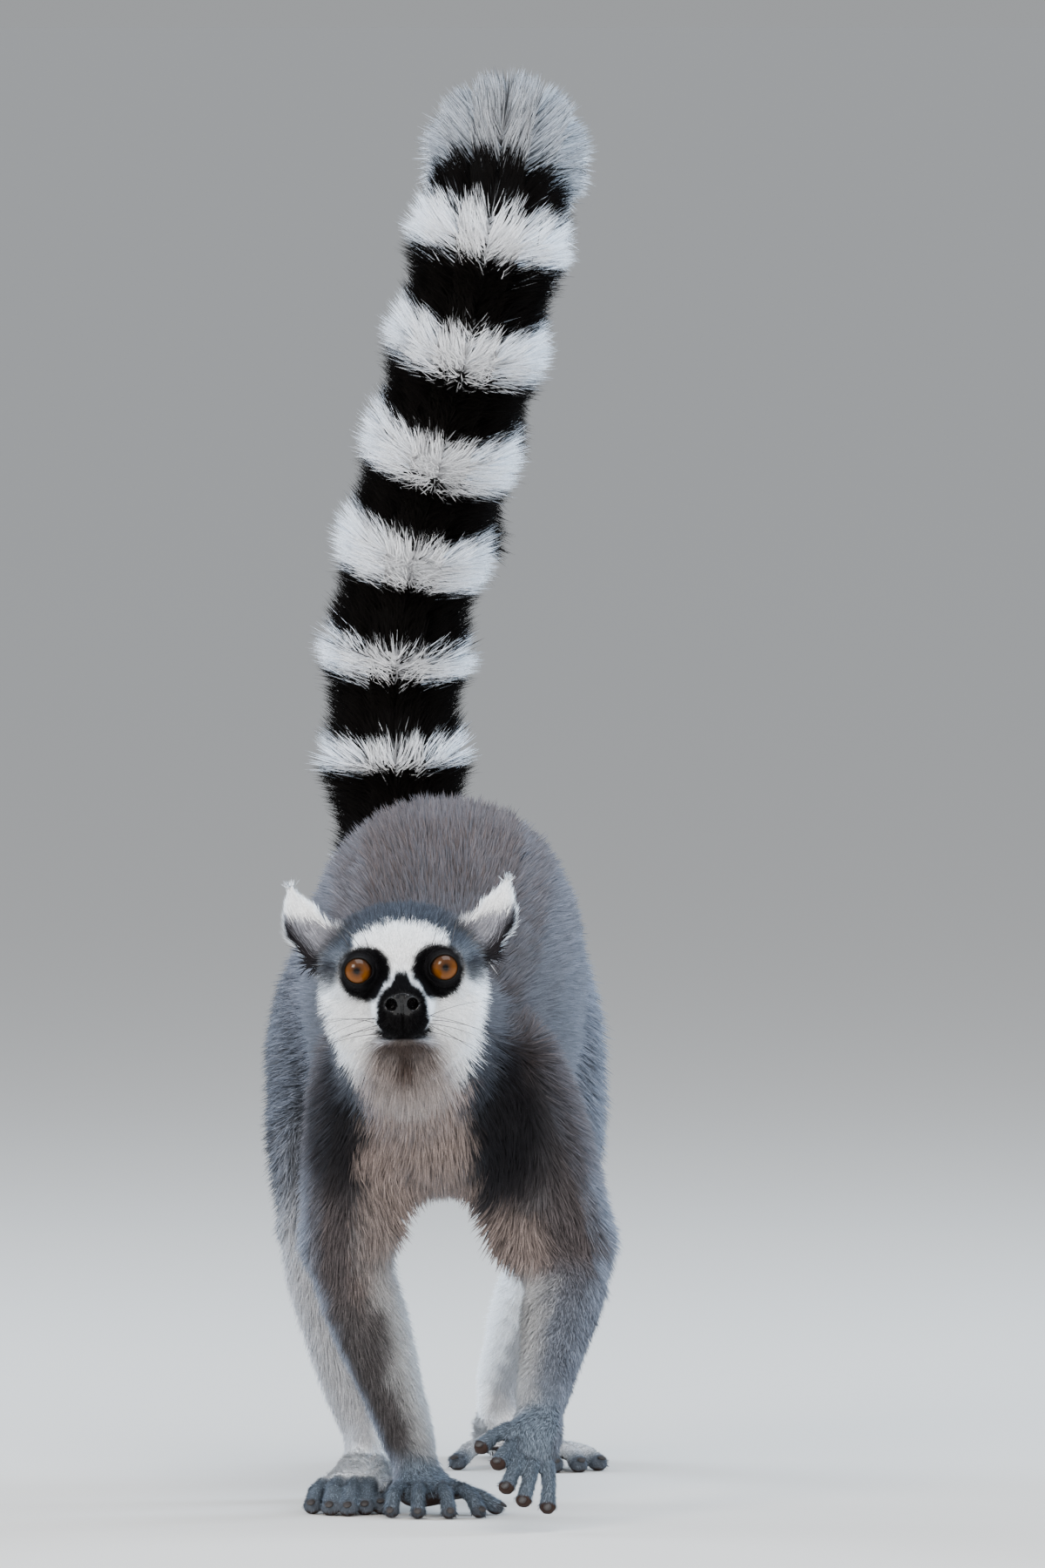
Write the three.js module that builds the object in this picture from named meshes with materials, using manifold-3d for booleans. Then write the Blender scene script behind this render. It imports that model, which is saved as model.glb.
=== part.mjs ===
// An adult ring-tailed lemur, walking, as a life-size still model.
// Millimetres, +Z up. The animal faces -Y, its left side is +X and the floor is Z = 0.
// Every surface is where the tips of the coat lie, so the skin would be a little inside it.

import * as THREE from "three";
import Module from "manifold-3d";

const wasm = await Module();
wasm.setup();

// ---------------------------------------------------------------- driving sizes

const SEAM = 0.35; // gap between neighbouring pieces
const DIGIT_RADIUS = 3.6;
const TOE_RADIUS = 4.2;

const TAIL_RADIUS = { root: 29, top: 35.6, end: 27 };
const RING_PITCH = 46.2; // one pale ring and one black ring along the tail
const FIRST_RING = 48; // middle of the first pale ring, from the root
const RING_FLARE = 3; // how far a pale ring stands out past the mean radius

const EYE_RADIUS = 7.6;
const EYE_SPACING = 35.2;
const EYE_DEPTH = 2.4; // eyeball centres, behind the face's own origin
const HEAD_AT = [-15.3, -105, 232]; // between the eyes
const HEAD_ROLL = 2.3; // degrees, the left ear carried higher

// Joint centres. The left arm swings forward off the floor, the right one carries the chest.
const SHOULDER = { left: [34, -4, 183], right: [-34, -2, 183] };
const ELBOW = { left: [55, 18, 108], right: [-39, 14, 108] };
const WRIST = { left: [41.5, -47, 49], right: [-11.5, 25, 25] };
const HIP = { left: [35, 226, 206], right: [-35, 222, 208] };
const KNEE = { left: [46, 204, 92], right: [-55, 108, 148] };
const ANKLE = { left: [24, 314, 33], right: [-31, 92, 27] };

// ---------------------------------------------------------------- ways of making a solid

const X_AXIS = new THREE.Vector3(1, 0, 0);
const Z_AXIS = new THREE.Vector3(0, 0, 1);
const point = ([x, y, z]) => new THREE.Vector3(x, y, z);
const mix = (a, b, t) => a.map((v, i) => v + (b[i] - v) * t);
const shift = (a, b) => a.map((v, i) => v + b[i]);

// A closed tube along stations [x, y, z, half width, half depth]. Its width lies along `across`,
// its ends are domes, and `fullness` over 2 squares the section a little.
function tube(stations, shape = {}, grow = 0) {
  const { across = X_AXIS, sides = 14, rings = 8, domes = [6, 6], fullness = 2 } = shape;
  const spine = new THREE.CatmullRomCurve3(stations.map(point), false, "centripetal");
  const girth = new THREE.CatmullRomCurve3(stations.map((s) => point([s[3], s[4], 0])));
  return tubeFrom((t) => spine.getPoint(t), (t) => spine.getTangent(t), (t) => girth.getPoint(t), {
    across, sides, rings, domes: domes.map((d) => (d ? d + grow : 0)), fullness,
  }, grow);
}

const DOME_STEPS = 2;

function tubeFrom(centreAt, tangentAt, girthAt, shape, grow) {
  const { across, sides, rings, domes, fullness } = shape;
  const levels = []; // [t, how far out past the end, share of the radius]
  const dome = (t, length) => {
    for (let k = 1; k < DOME_STEPS; k++) {
      const angle = (k / DOME_STEPS) * (Math.PI / 2);
      levels.push([t, length * Math.sin(angle), Math.cos(angle)]);
    }
  };
  if (domes[0]) dome(0, -domes[0]);
  levels.reverse();
  for (let i = 0; i <= rings; i++) levels.push([i / rings, 0, 1]);
  if (domes[1]) dome(1, domes[1]);

  const vertices = [];
  const place = (t, out, share, angle) => {
    const along = tangentAt(t);
    const side = across.clone().addScaledVector(along, -across.dot(along)).normalize();
    const deep = along.clone().cross(side);
    const girth = girthAt(t);
    const round = (v) => Math.sign(v) * Math.abs(v) ** (2 / fullness);
    const p = centreAt(t)
      .addScaledVector(along, out)
      .addScaledVector(side, share * (girth.x + grow) * round(Math.cos(angle)))
      .addScaledVector(deep, share * (girth.y + grow) * round(Math.sin(angle)));
    return vertices.push(p.x, p.y, p.z) / 3 - 1;
  };
  const ring = levels.map(([t, out, share]) =>
    Array.from({ length: sides }, (_, j) => place(t, out, share, (j / sides) * 2 * Math.PI)));
  const first = place(0, -domes[0], 0, 0);
  const last = place(1, domes[1], 0, 0);

  const faces = [];
  for (let j = 0; j < sides; j++) {
    const k = (j + 1) % sides;
    faces.push(first, ring[0][k], ring[0][j], last, ring.at(-1)[j], ring.at(-1)[k]);
    for (let i = 0; i + 1 < ring.length; i++) {
      faces.push(ring[i][j], ring[i][k], ring[i + 1][j]);
      faces.push(ring[i][k], ring[i + 1][k], ring[i + 1][j]);
    }
  }
  return solid(new Float32Array(vertices), new Uint32Array(faces));
}

function solid(vertProperties, triVerts) {
  return new wasm.Manifold(new wasm.Mesh({ numProp: 3, vertProperties, triVerts }));
}

// A three.js primitive, turned and moved by a matrix, as a solid.
function primitive(geometry, matrix) {
  const spots = new Map();
  const vertices = [];
  const source = geometry.getAttribute("position");
  const shared = Array.from({ length: source.count }, (_, i) => {
    const p = new THREE.Vector3().fromBufferAttribute(source, i);
    const key = p.toArray().map((v) => Math.round(v * 1e3)).join();
    if (!spots.has(key)) {
      spots.set(key, spots.size);
      vertices.push(...p.applyMatrix4(matrix).toArray());
    }
    return spots.get(key);
  });
  const faces = [];
  for (let i = 0; i < geometry.index.count; i += 3) {
    const corners = [0, 1, 2].map((k) => shared[geometry.index.getX(i + k)]);
    if (new Set(corners).size === 3) faces.push(...corners);
  }
  return solid(new Float32Array(vertices), new Uint32Array(faces));
}

// A piece is made twice: as it is, and grown by the seam, which is what cuts its neighbours.
const piece = (make) => ({ body: make(0), cutter: make(SEAM) });
const join = (...pieces) => ({
  body: pieces.map((p) => p.body).reduce((a, b) => a.add(b)),
  cutter: pieces.map((p) => p.cutter).reduce((a, b) => a.add(b)),
});

const FLOOR_BLOCK = 2000;
const underfloor = primitive(
  new THREE.BoxGeometry(FLOOR_BLOCK, FLOOR_BLOCK, FLOOR_BLOCK),
  new THREE.Matrix4().makeTranslation(0, 0, -FLOOR_BLOCK / 2),
);

// ---------------------------------------------------------------- trunk, neck and tail

// The back climbs from the withers to a high rump, and the belly line is nearly level.
const makeTrunk = () =>
  piece((grow) =>
    tube(
      [
        [-2, -30, 176, 27, 34],
        [-1, -6, 179, 42, 49],
        [0, 34, 185, 50, 57],
        [0, 92, 191, 55, 63],
        [0, 150, 202, 60, 71],
        [1, 208, 215, 62, 76],
        [1, 252, 223, 52, 66],
        [0, 282, 229, 32, 42],
      ],
      { sides: 18, rings: 9, domes: [12, 15], fullness: 2.25 },
      grow,
    ));

const makeNeck = () =>
  piece((grow) =>
    tube(
      [
        [-3, 20, 192, 40, 47],
        [-8, -26, 197, 37, 44],
        [-13, -56, 208, 33, 39],
        [-15, -76, 220, 29, 32],
      ],
      { sides: 12, rings: 3, domes: [0, 6] },
      grow,
    ));

// The tail leaves the rump backwards, rises leaning a little forward, and bends over at the top,
// so that its last third hangs behind the rest.
const tailSpine = new THREE.CatmullRomCurve3(
  [
    [0, 270, 234],
    [-8, 299, 246],
    [-18, 313, 274],
    [-21, 314, 309],
    [-20, 312, 345],
    [-13, 305, 390],
    [-1, 292, 436],
    [10, 279, 480],
    [19, 273, 522],
    [25, 281, 550],
    [28, 308, 564],
    [27, 341, 557],
    [23, 369, 534],
    [16, 385, 498],
    [9, 389, 456],
    [2, 385, 414],
    [-1, 380, 392],
  ].map(point),
  false,
  "centripetal",
);
const TAIL_LENGTH = tailSpine.getLength();
const TAIL_TOP = 0.5; // where along the tail it is thickest

function tailRadius(u) {
  const { root, top, end } = TAIL_RADIUS;
  const swell = u < TAIL_TOP
    ? THREE.MathUtils.lerp(root, top, Math.sqrt(u / TAIL_TOP))
    : THREE.MathUtils.lerp(top, end, ((u - TAIL_TOP) / (1 - TAIL_TOP)) ** 2);
  const turns = (u * TAIL_LENGTH - FIRST_RING) / RING_PITCH;
  return swell + RING_FLARE * Math.cos(turns * 2 * Math.PI);
}

// One length of the tail, from share `from` to share `to` of its arc.
function makeTailLength(from, to, isEnd) {
  const share = (t) => THREE.MathUtils.lerp(from, to, t);
  const rings = Math.max(2, Math.round(((to - from) * TAIL_LENGTH) / (RING_PITCH / 4)));
  const shape = { across: X_AXIS, sides: 12, rings, domes: [0, isEnd ? 20 : 0], fullness: 2 };
  const radius = (t) => new THREE.Vector3(tailRadius(share(t)), tailRadius(share(t)), 0);
  return piece((grow) =>
    tubeFrom((t) => tailSpine.getPointAt(share(t)), (t) => tailSpine.getTangentAt(share(t)), radius,
      shape, grow));
}

const TAIL_CUTS = { tail_root: 0, tail_lower: 0.19, tail_middle: 0.39, tail_bend: 0.575, tail_end: 0.79 };

// ---------------------------------------------------------------- head

const headFrame = new THREE.Matrix4()
  .makeRotationY(THREE.MathUtils.degToRad(-HEAD_ROLL))
  .setPosition(...HEAD_AT);

// Moves a piece from the head's own frame, whose origin lies between the eyes, to the animal's.
const onHead = (made) => {
  const matrix = [...headFrame.elements];
  return { body: made.body.transform(matrix), cutter: made.cutter.transform(matrix) };
};

const makeSkull = () =>
  piece((grow) =>
    tube(
      [
        [0, 58, -8, 28, 26],
        [0, 48, -6, 33, 29],
        [0, 35, -4, 36, 30.5],
        [0, 21, -4, 35, 28.5],
        [0, 10, -5.5, 30.5, 24.5],
        [0, 2, -8, 25, 19],
      ],
      { sides: 18, rings: 6, domes: [8, 5], fullness: 2.1 },
      grow,
    ));

// The face below the eyes: pale cheeks whose ruff narrows to the throat.
const makeCheeks = () =>
  piece((grow) =>
    tube(
      [
        [0, 22, -6, 35.5, 22],
        [0, 18, -17, 36, 19],
        [0, 14, -29, 32, 18],
        [0, 12, -39, 21.5, 16],
        [0, 12, -45, 12, 11],
      ],
      { sides: 12, rings: 4, domes: [8, 5], fullness: 2.2 },
      grow,
    ));

const makeJaw = () =>
  piece((grow) =>
    tube(
      [
        [0, 12, -32, 20, 8],
        [0, -6, -31, 13, 7],
        [0, -18, -30, 9, 5.5],
        [0, -24, -29.5, 7, 4],
      ],
      { sides: 10, rings: 3, domes: [0, 3] },
      grow,
    ));

const makeMuzzle = () =>
  piece((grow) =>
    tube(
      [
        [0, 6, -13, 14.6, 13.6],
        [0, -9, -14, 13.4, 13.6],
        [0, -22, -15, 12.6, 12.8],
        [0, -31, -15.5, 10.8, 11],
      ],
      { sides: 14, rings: 4, domes: [0, 4.5], fullness: 2.3 },
      grow,
    ));

const makeNose = () =>
  piece((grow) =>
    tube([[0, -30, -9.5, 6.8, 5.4], [0, -35.5, -10.5, 6.2, 5]],
      { sides: 10, rings: 1, domes: [2, 3], fullness: 2.4 }, grow));

const makeEye = (side) =>
  piece((grow) =>
    primitive(
      new THREE.SphereGeometry(EYE_RADIUS + grow, 14, 8),
      new THREE.Matrix4().makeTranslation((side * EYE_SPACING) / 2, EYE_DEPTH, 0),
    ));

// The hollow in front of each eye, which bares it between the brow and the cheek.
const ORBIT = { radius: 8.4, ahead: 7.5, out: 1.2 };
const makeOrbit = (side) =>
  primitive(
    new THREE.SphereGeometry(ORBIT.radius, 12, 7),
    new THREE.Matrix4().makeTranslation(side * (EYE_SPACING / 2 + ORBIT.out), EYE_DEPTH - ORBIT.ahead, 0),
  );

function makeHead() {
  const { body, cutter } = join(makeSkull(), makeCheeks(), makeJaw());
  return { body: body.subtract(makeOrbit(1)).subtract(makeOrbit(-1)), cutter };
}

// An ear is a leaf-shaped cup: a flattened tube, hollowed from the front.
const EAR_WALL = 2.6;
const EAR_OPENS = [-1.5, -7, 0]; // how the hollow is moved towards the ear's mouth
function makeEar(side) {
  const stations = ([dx, dy, dz]) =>
    [
      [25, 26, 4, 13, 10],
      [33, 28, 10, 12, 8.5],
      [38.5, 30, 17, 9.8, 7],
      [42, 31.5, 24.5, 5.8, 4.8],
      [43.6, 32.5, 30, 2.4, 2.4],
    ].map(([x, y, z, w, d]) => [side * (x + dx), y + dy, z + dz, w, d]);
  const shape = { sides: 12, rings: 5, domes: [0, 3] };
  return piece((grow) =>
    tube(stations([0, 0, 0]), shape, grow).subtract(tube(stations(EAR_OPENS), shape, -EAR_WALL - grow)));
}

// ---------------------------------------------------------------- limbs

// A limb from joint to joint: each station is [share of the way, half width, half depth, bow],
// where bow is a sideways and forward shift off the straight line.
function makeLimb(from, to, girths, shape) {
  const stations = girths.map(([share, width, depth, bow = [0, 0, 0]]) =>
    [...shift(mix(from, to, share), bow), width, depth]);
  return piece((grow) => tube(stations, { sides: 12, rings: 4, ...shape }, grow));
}

const makeUpperArm = (side) =>
  makeLimb(SHOULDER[side], ELBOW[side], [
    [-0.15, 19, 25],
    [0.2, 23, 30],
    [0.6, 22, 25],
    [1, 21.5, 20],
  ], { domes: [14, 17] });

const makeForearm = (side) =>
  makeLimb(ELBOW[side], WRIST[side], [
    [0, 18, 17.5],
    [0.25, 18.5, 17],
    [0.6, 14.5, 14],
    [1, 11.4, 10.5],
  ], { domes: [5, 3] });

const makeThigh = (side) =>
  makeLimb(HIP[side], KNEE[side], [
    [-0.1, 30, 38],
    [0.25, 35, 41],
    [0.65, 27, 31],
    [1, 20.5, 21],
  ], { sides: 12, domes: [14, 16] });

const makeShank = (side) =>
  makeLimb(KNEE[side], ANKLE[side], [
    [0, 17.5, 17.5, [side === "left" ? 0 : -3, 0, 0]],
    [0.3, 18.5, 18.5, [side === "left" ? 0 : -4, 0, 0]],
    [0.7, 13.5, 13.5, [side === "left" ? 0 : -5, 0, 0]],
    [1, 10.5, 10.5],
  ], { domes: [5, 4] });

// A digit bends through its knuckle and ends in a round pad.
const makeDigit = (base, knuckle, tip, radius) =>
  piece((grow) =>
    tube(
      [
        [...base, radius * 1.05, radius * 1.05],
        [...knuckle, radius, radius],
        [...tip, radius * 1.12, radius],
      ],
      { across: Math.abs(tip[0] - base[0]) > Math.abs(tip[1] - base[1]) ? Z_AXIS : X_AXIS,
        sides: 6, rings: 3, domes: [0, radius * 0.8] },
      grow,
    ));

// The palm or sole runs through its own stations, and digits [base, knuckle, tip] grow from it.
function makeExtremity(palm, digits, radius) {
  const pad = piece((grow) => tube(palm, { sides: 10, rings: 3, domes: [6, 4], fullness: 2.3 }, grow));
  return join(pad, ...digits.map(([base, knuckle, tip]) => makeDigit(base, knuckle, tip, radius)));
}

// Digits are listed from the first, the thumb or great toe, to the fifth.
const makePlantedHand = () =>
  makeExtremity(
    [
      [...WRIST.right, 9.5, 9],
      [-8, 14, 13, 12, 8],
      [-3, 3, 9, 14.5, 6],
    ],
    [
      [[3, 12, 9], [14, 8, 9.5], [24, 5, 2.7]],
      [[5, 8, 10.5], [12, -6, 10.5], [16.5, -15, 2.7]],
      [[0, 0, 9.5], [2, -9, 12.5], [4, -19, 2.7]],
      [[-7, 0, 9.5], [-8.5, -9, 13.5], [-9, -19, 2.7]],
      [[-13, 3, 9], [-18, -5, 13], [-20, -14, 2.7]],
    ],
    DIGIT_RADIUS,
  );

const makeRaisedHand = () =>
  makeExtremity(
    [
      [...WRIST.left, 10, 9],
      [40.5, -60, 41.5, 11.5, 8],
      [38, -71, 33, 11.5, 6.5],
    ],
    [
      [[33, -60, 41], [24.5, -70, 40], [17, -79, 34]],
      [[32.5, -69, 36], [28, -79, 33.5], [24, -88, 28]],
      [[34.5, -74, 31], [31, -84, 26], [27.5, -92, 18.5]],
      [[39, -75, 29], [37, -85, 22], [34.5, -93, 13]],
      [[44, -72, 29], [45, -81, 20], [44.5, -88, 10]],
    ],
    DIGIT_RADIUS,
  );

const makeRightFoot = () =>
  makeExtremity(
    [
      [-29, 105, 11, 9, 10],
      [-31, 90, 13.4, 11, 13.2],
      [-33, 62, 11, 12, 10],
      [-36.5, 36, 9, 14.5, 8],
    ],
    [
      [[-25, 50, 9], [-18, 30, 9], [-24, 7, 3.1]],
      [[-29, 32, 9], [-29.5, 18, 12], [-31, 3, 3.1]],
      [[-34, 28, 9], [-36, 12, 12.5], [-38, -3, 3.1]],
      [[-40, 30, 9], [-43.5, 14, 12.5], [-45.5, 0, 3.1]],
      [[-45, 35, 8.5], [-50, 22, 11], [-53, 8, 3.1]],
    ],
    TOE_RADIUS,
  );

const makeLeftFoot = () =>
  makeExtremity(
    [
      [21, 333, 11, 9, 10],
      [25, 318, 13.6, 11, 13.4],
      [32, 296, 11, 12, 9.5],
      [40, 272, 8, 14.5, 7],
    ],
    [
      [[28, 286, 10], [15, 270, 10], [6, 252, 3.1]],
      [[34, 268, 8], [37, 255, 9], [38, 241, 3.1]],
      [[40, 264, 8], [45, 250, 9], [48, 236, 3.1]],
      [[46, 266, 8], [54, 252, 8.5], [58.5, 239, 3.1]],
      [[50, 270, 7.5], [60, 260, 7.5], [67, 248, 3.1]],
    ],
    TOE_RADIUS,
  );

// ---------------------------------------------------------------- finishes

const finish = (color, roughness) => new THREE.MeshStandardMaterial({ color, roughness, metalness: 0 });
const BACK_FUR = finish(0x8a7d76, 0.95);
const LIMB_FUR = finish(0x8f9297, 0.95);
const PALE_FUR = finish(0xd8d6d2, 0.95);
const CROWN_FUR = finish(0x6a6c72, 0.95);
const TAIL_FUR = finish(0x2a2524, 0.95);
const DARK_SKIN = finish(0x1c1a1b, 0.55);
const AMBER_EYE = finish(0xa85a12, 0.1);

// ---------------------------------------------------------------- the animal

const lemur = new THREE.Group();
const placed = []; // the cutters of the pieces already in place

// A piece gives way to those placed before it, and keeps its largest body so that no crumbs stay.
// Its mesh hangs at its own joint or centre, and its geometry is measured from there.
function add(name, made, pivot, material) {
  const left = placed.reduce((a, cutter) => a.subtract(cutter), made.body.subtract(underfloor));
  const body = left.decompose().reduce((a, b) => (b.volume() > a.volume() ? b : a));
  placed.push(made.cutter);

  const { numProp, numVert, vertProperties, triVerts } = body.getMesh();
  const positions = new Float32Array(numVert * 3);
  for (let i = 0; i < numVert; i++) {
    positions.set(vertProperties.subarray(i * numProp, i * numProp + 3), i * 3);
  }
  const geometry = new THREE.BufferGeometry();
  geometry.setAttribute("position", new THREE.BufferAttribute(positions, 3));
  geometry.setIndex(new THREE.BufferAttribute(triVerts, 1));
  geometry.translate(...pivot.map((v) => -v));
  geometry.computeVertexNormals();
  const mesh = new THREE.Mesh(geometry, material);
  mesh.name = name;
  mesh.position.set(...pivot);
  lemur.add(mesh);
}

const SIDES = { left: 1, right: -1 };
for (const [name, side] of Object.entries(SIDES)) add(`eye_${name}`, onHead(makeEye(side)), HEAD_AT, AMBER_EYE);
add("head", onHead(makeHead()), HEAD_AT, CROWN_FUR);
add("muzzle", onHead(makeMuzzle()), HEAD_AT, DARK_SKIN);
add("nose", onHead(makeNose()), HEAD_AT, DARK_SKIN);
for (const [name, side] of Object.entries(SIDES)) add(`ear_${name}`, onHead(makeEar(side)), HEAD_AT, PALE_FUR);

add("trunk", makeTrunk(), [0, 120, 200], BACK_FUR);
for (const name of Object.keys(SIDES)) {
  add(`upper_arm_${name}`, makeUpperArm(name), SHOULDER[name], BACK_FUR);
  add(`thigh_${name}`, makeThigh(name), HIP[name], LIMB_FUR);
}
add("neck", makeNeck(), HEAD_AT, PALE_FUR);

const hands = { left: makeRaisedHand(), right: makePlantedHand() };
const feet = { left: makeLeftFoot(), right: makeRightFoot() };
for (const name of Object.keys(SIDES)) {
  add(`forearm_${name}`, makeForearm(name), ELBOW[name], LIMB_FUR);
  add(`hand_${name}`, hands[name], WRIST[name], LIMB_FUR);
  add(`shank_${name}`, makeShank(name), KNEE[name], PALE_FUR);
  add(`foot_${name}`, feet[name], ANKLE[name], PALE_FUR);
}

const tailNames = Object.keys(TAIL_CUTS);
tailNames.forEach((name, i) => {
  const isEnd = i + 1 === tailNames.length;
  const from = TAIL_CUTS[name] + (i ? SEAM / TAIL_LENGTH : 0);
  const to = isEnd ? 1 : TAIL_CUTS[tailNames[i + 1]];
  add(name, makeTailLength(from, to, isEnd), tailSpine.getPointAt(from).toArray(), TAIL_FUR);
});

// The frame's origin is on the floor under the middle of the animal.
const middle = new THREE.Box3().setFromObject(lemur).getCenter(new THREE.Vector3()).setZ(0);
lemur.children.forEach((mesh) => mesh.position.sub(middle));

export default lemur;
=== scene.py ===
"""A ring-tailed lemur walking with one hand lifted, as a still life-size model.

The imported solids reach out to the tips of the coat. One skin is made from them and set in by
the depth of the coat, and solid tufts of hair grow from it back out to that size.
Places on the body are in millimetres, as the solids were drawn, before the frame was centred.
"""

import math
from collections import namedtuple

import bpy
import numpy as np
from mathutils import Matrix, Vector


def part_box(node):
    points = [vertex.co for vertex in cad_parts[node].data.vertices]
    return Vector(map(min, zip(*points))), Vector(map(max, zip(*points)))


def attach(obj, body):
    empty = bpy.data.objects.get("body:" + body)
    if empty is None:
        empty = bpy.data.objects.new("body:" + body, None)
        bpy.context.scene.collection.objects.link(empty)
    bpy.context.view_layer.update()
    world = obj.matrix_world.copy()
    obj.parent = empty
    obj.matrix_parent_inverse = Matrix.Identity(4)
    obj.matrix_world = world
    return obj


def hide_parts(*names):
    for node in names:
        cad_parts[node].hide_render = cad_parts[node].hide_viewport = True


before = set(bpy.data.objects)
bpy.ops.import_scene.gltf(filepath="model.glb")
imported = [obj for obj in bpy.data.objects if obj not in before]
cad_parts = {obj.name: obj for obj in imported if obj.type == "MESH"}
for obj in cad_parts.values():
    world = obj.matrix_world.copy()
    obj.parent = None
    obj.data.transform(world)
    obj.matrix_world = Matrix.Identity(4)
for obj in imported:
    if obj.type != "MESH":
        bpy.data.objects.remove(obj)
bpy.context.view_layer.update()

MM = 0.001

# ------------------------------------------------------------------ the head's own frame
# Its origin lies between the eyes: x to the animal's left, y to the back, z up.

HEAD_AT = np.array([-15.3, -105.0, 232.0])
HEAD_ROLL = math.radians(2.3)
EYE_RADIUS = 7.6
EYE_SPACING = 35.2
EYE_DEPTH = 2.4

HEAD_TURN = np.array(
    [
        [math.cos(HEAD_ROLL), 0.0, -math.sin(HEAD_ROLL)],
        [0.0, 1.0, 0.0],
        [math.sin(HEAD_ROLL), 0.0, math.cos(HEAD_ROLL)],
    ]
)


def from_head(points):
    """Places in the head's own frame, as places on the body."""
    return np.asarray(points, float) @ HEAD_TURN.T + HEAD_AT


def to_head(points):
    return (np.asarray(points, float) - HEAD_AT) @ HEAD_TURN


def centre_of(node):
    low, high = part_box(node)
    return np.array((low + high) / 2) / MM


# The solids were moved as a whole to stand over the frame's origin, and the eye tells how far.
MIDDLE = from_head([EYE_SPACING / 2, EYE_DEPTH, 0]) - centre_of("eye_left")
MIDDLE[2] = 0.0


def to_scene(points):
    """Places on the body in mm, as metres in the scene."""
    return (np.asarray(points, float) - MIDDLE) * MM


def to_body(points):
    return np.asarray(points, float) / MM + MIDDLE


# ------------------------------------------------------------------ the body's parts
# Each part is a line, or one for each digit, that runs the way its hair points. girth is its
# half thickness at the tips of the coat, depth is how far the skin lies inside them, hair is a
# tuft's length, width its breadth at the root, and thick the tufts on a square millimetre.

Part = namedtuple("Part", "runs girth depth hair width thick")


def smooth_run(points, steps):
    """A Catmull-Rom line through the points, with so many steps to each stretch."""
    p = np.array([points[0], *points, points[-1]], float)
    t = np.linspace(0, 1, steps, endpoint=False)[:, None]
    stretches = []
    for a, b, c, d in zip(p, p[1:], p[2:], p[3:]):
        bend = 2 * a - 5 * b + 4 * c - d
        twist = 3 * (b - c) + d - a
        stretches.append(0.5 * (2 * b + (c - a) * t + bend * t**2 + twist * t**3))
    return np.vstack([*stretches, p[-1:]])


TAIL_RUN = smooth_run(
    [
        (0, 270, 234),
        (-8, 299, 246),
        (-18, 313, 274),
        (-21, 314, 309),
        (-20, 312, 345),
        (-13, 305, 390),
        (-1, 292, 436),
        (10, 279, 480),
        (19, 273, 522),
        (25, 281, 550),
        (28, 308, 564),
        (27, 341, 557),
        (23, 369, 534),
        (16, 385, 498),
        (9, 389, 456),
        (2, 385, 414),
        (-1, 380, 392),
    ],
    4,
)

WRIST = {"left": (41.5, -47, 49), "right": (-11.5, 25, 25)}
ELBOW = {"left": (55, 18, 108), "right": (-39, 14, 108)}
SHOULDER = {"left": (34, -4, 183), "right": (-34, -2, 183)}
HIP = {"left": (35, 226, 206), "right": (-35, 222, 208)}
KNEE = {"left": (46, 204, 92), "right": (-58, 108, 148)}
ANKLE = {"left": (24, 314, 33), "right": (-31, 92, 27)}

# Digits from the first to the fifth, each as base, knuckle and tip.
FINGERS = {
    "left": [
        [(33, -60, 41), (24.5, -70, 40), (17, -79, 34)],
        [(32.5, -69, 36), (28, -79, 33.5), (24, -88, 28)],
        [(34.5, -74, 31), (31, -84, 26), (27.5, -92, 18.5)],
        [(39, -75, 29), (37, -85, 22), (34.5, -93, 13)],
        [(44, -72, 29), (45, -81, 20), (44.5, -88, 10)],
    ],
    "right": [
        [(3, 12, 9), (14, 8, 9.5), (24, 5, 2.7)],
        [(5, 8, 10.5), (12, -6, 10.5), (16.5, -15, 2.7)],
        [(0, 0, 9.5), (2, -9, 12.5), (4, -19, 2.7)],
        [(-7, 0, 9.5), (-8.5, -9, 13.5), (-9, -19, 2.7)],
        [(-13, 3, 9), (-18, -5, 13), (-20, -14, 2.7)],
    ],
}
TOES = {
    "left": [
        [(28, 286, 10), (15, 270, 10), (6, 252, 3.1)],
        [(34, 268, 8), (37, 255, 9), (38, 241, 3.1)],
        [(40, 264, 8), (45, 250, 9), (48, 236, 3.1)],
        [(46, 266, 8), (54, 252, 8.5), (58.5, 239, 3.1)],
        [(50, 270, 7.5), (60, 260, 7.5), (67, 248, 3.1)],
    ],
    "right": [
        [(-25, 50, 9), (-18, 30, 9), (-24, 7, 3.1)],
        [(-29, 32, 9), (-29.5, 18, 12), (-31, 3, 3.1)],
        [(-34, 28, 9), (-36, 12, 12.5), (-38, -3, 3.1)],
        [(-40, 30, 9), (-43.5, 14, 12.5), (-45.5, 0, 3.1)],
        [(-45, 35, 8.5), (-50, 22, 11), (-53, 8, 3.1)],
    ],
}
PALM = {
    "left": [WRIST["left"], (40.5, -60, 41.5), (38, -71, 33)],
    "right": [WRIST["right"], (-8, 14, 13), (-3, 3, 9)],
}
SOLE = {
    "left": [(21, 333, 11), (25, 318, 13.6), (32, 296, 11), (40, 272, 8)],
    "right": [(-29, 105, 11), (-31, 90, 13.4), (-33, 62, 11), (-36.5, 36, 9)],
}
# The way the bare underside of each hand and foot faces.
UNDERSIDE = {
    "hand_left": (0, 0.6, -0.8),
    "hand_right": (0, 0, -1),
    "foot_left": (0, 0, -1),
    "foot_right": (0, 0, -1),
}

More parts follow.
